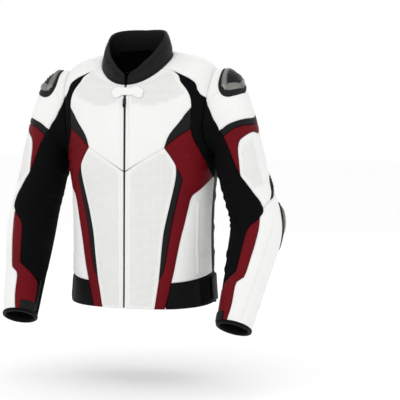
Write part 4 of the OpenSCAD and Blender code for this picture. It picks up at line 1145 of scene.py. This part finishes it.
def cuff_zips():
    """two rows of teeth along the inner forearm"""
    phi = np.array([172.0])
    big = [(-1.4, -.5, -.9), (1.4, -.5, -.9), (1.4, .5, -.9), (-1.4, .5, -.9)]
    small = [(-1, -.4, .9), (1, -.4, .9), (1, .4, .9), (-1, .4, .9)]
    points, faces = [], []
    for n, t in enumerate(np.arange(486.0, 561, 1.7)):
        at, out = frame_at("a", phi, np.array([t]))
        at, out = at[0], out[0]
        along = unit(frame_at("a", phi, np.array([t + 1.0]))[0][0] - at)
        side_way = unit(np.cross(along, out))
        c = at + out*3.0 + side_way*(0.7 if n % 2 else -0.7)
        i = len(points)
        points += [c + side_way*x + along*y + out*z for x, y, z in big + small]
        faces += [tuple(i + q for q in f) for f in ((3, 2, 1, 0), (4, 5, 6, 7), (0, 1, 5, 4), (1, 2, 6, 5),
                                                    (2, 3, 7, 6), (3, 0, 4, 7))]
    for side, mirror in SIDES:
        o = outward(to_mesh("cuff_zip" + side, *sided(points, faces, mirror), [ZIP_METAL], smooth=False))
        place(o, "forearm" + side + "_body", "zip_metal")


def lining():
    """a fabric material on the CAD's lining, the only node that stays"""
    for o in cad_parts.values():
        if o.hide_render:
            continue
        me = o.data
        me.materials.clear()
        me.materials.append(LINING)
        me.polygons.foreach_set("use_smooth", [True]*len(me.polygons))
        if "chart" not in me.uv_layers:
            layer = me.uv_layers.new(name="chart")
            for corner in me.loops:
                c = me.vertices[corner.vertex_index].co
                layer.data[corner.index].uv = (math.atan2(c.x, -c.y)*0.15, c.z)
        seam = me.attributes.new("seam", "FLOAT", "POINT")
        seam.data.foreach_set("value", np.full(len(me.vertices), FAR_FROM_SEAM, np.float32))


collar()
collar_stitches()
zip_chain()
zip_pull()
tabs_and_pockets()
guard("shoulder_cup", CUP, CUP_PLATE, CUP_VENT, "jacket", "shoulder_cups", 4.2, 0.85)
guard("elbow_slider", SLIDER, SLIDER_PLATE, None, "forearm%_body", "elbow_slider%", 6.5, 1.05)
cuffs()
cuff_zips()
lining()


# ---------------------------------------------------------------- floor, light, camera
def link(name, data, place=(0, 0, 0)):
    o = bpy.data.objects.new(name, data)
    o.location = place
    bpy.context.scene.collection.objects.link(o)
    return o


def aim(o, target):
    o.rotation_euler = (Vector(target) - o.location).to_track_quat("-Z", "Y").to_euler()


def floor(half=14, z=-0.76):
    me = bpy.data.meshes.new("floor")
    me.from_pydata([(-half, -half, z), (half, -half, z), (half, half, z), (-half, half, z)], [], [(0, 1, 2, 3)])
    pale = Shader("floor_m")
    for key, value in (("Base Color", (0.98, 0.98, 0.98, 1)), ("Roughness", 0.9), ("Specular IOR Level", 0.1)):
        pale.feed(pale.surface, key, value)
    me.materials.append(pale.material)
    link("floor", me)


def area_light(name, place, size, power):
    data = bpy.data.lights.new(name, "AREA")
    data.shape, data.energy = "RECTANGLE", power
    data.size, data.size_y = size
    aim(link(name, data, place), (0, 0, -0.3))


def world_light():
    scene = bpy.context.scene
    scene.world = scene.world or bpy.data.worlds.new("world")
    scene.world.use_nodes = True
    background = scene.world.node_tree.nodes["Background"]
    background.inputs["Color"].default_value = (1, 1, 1, 1)
    background.inputs["Strength"].default_value = 1.0
    scene.view_settings.view_transform = "Standard"


def camera(azimuth, elevation, distance_m, centre):
    az, el = math.radians(azimuth), math.radians(elevation)
    away = Vector((math.sin(az)*math.cos(el), -math.cos(az)*math.cos(el), math.sin(el)))
    cam = link("camera", bpy.data.cameras.new("camera"), Vector(centre) + distance_m*away)
    aim(cam, centre)
    cam.data.sensor_width, cam.data.lens = 36, 131.3
    cam.data.shift_x, cam.data.shift_y = 0.1385, 0.017
    cam.data.clip_end = 60
    bpy.context.scene.camera = cam


floor()
area_light("key", (-1.2, -2.8, 1.0), (1.8, 1.8), 13)
area_light("fill", (2.9, -1.4, 0.1), (2.0, 2.4), 11)
area_light("top", (0.2, -0.3, 2.6), (2.2, 2.2), 3)
area_light("back", (-0.6, 2.8, 1.2), (2.4, 2.0), 8)
world_light()
camera(21.8, 3.95, 3.544, (0, -0.010, -0.345))
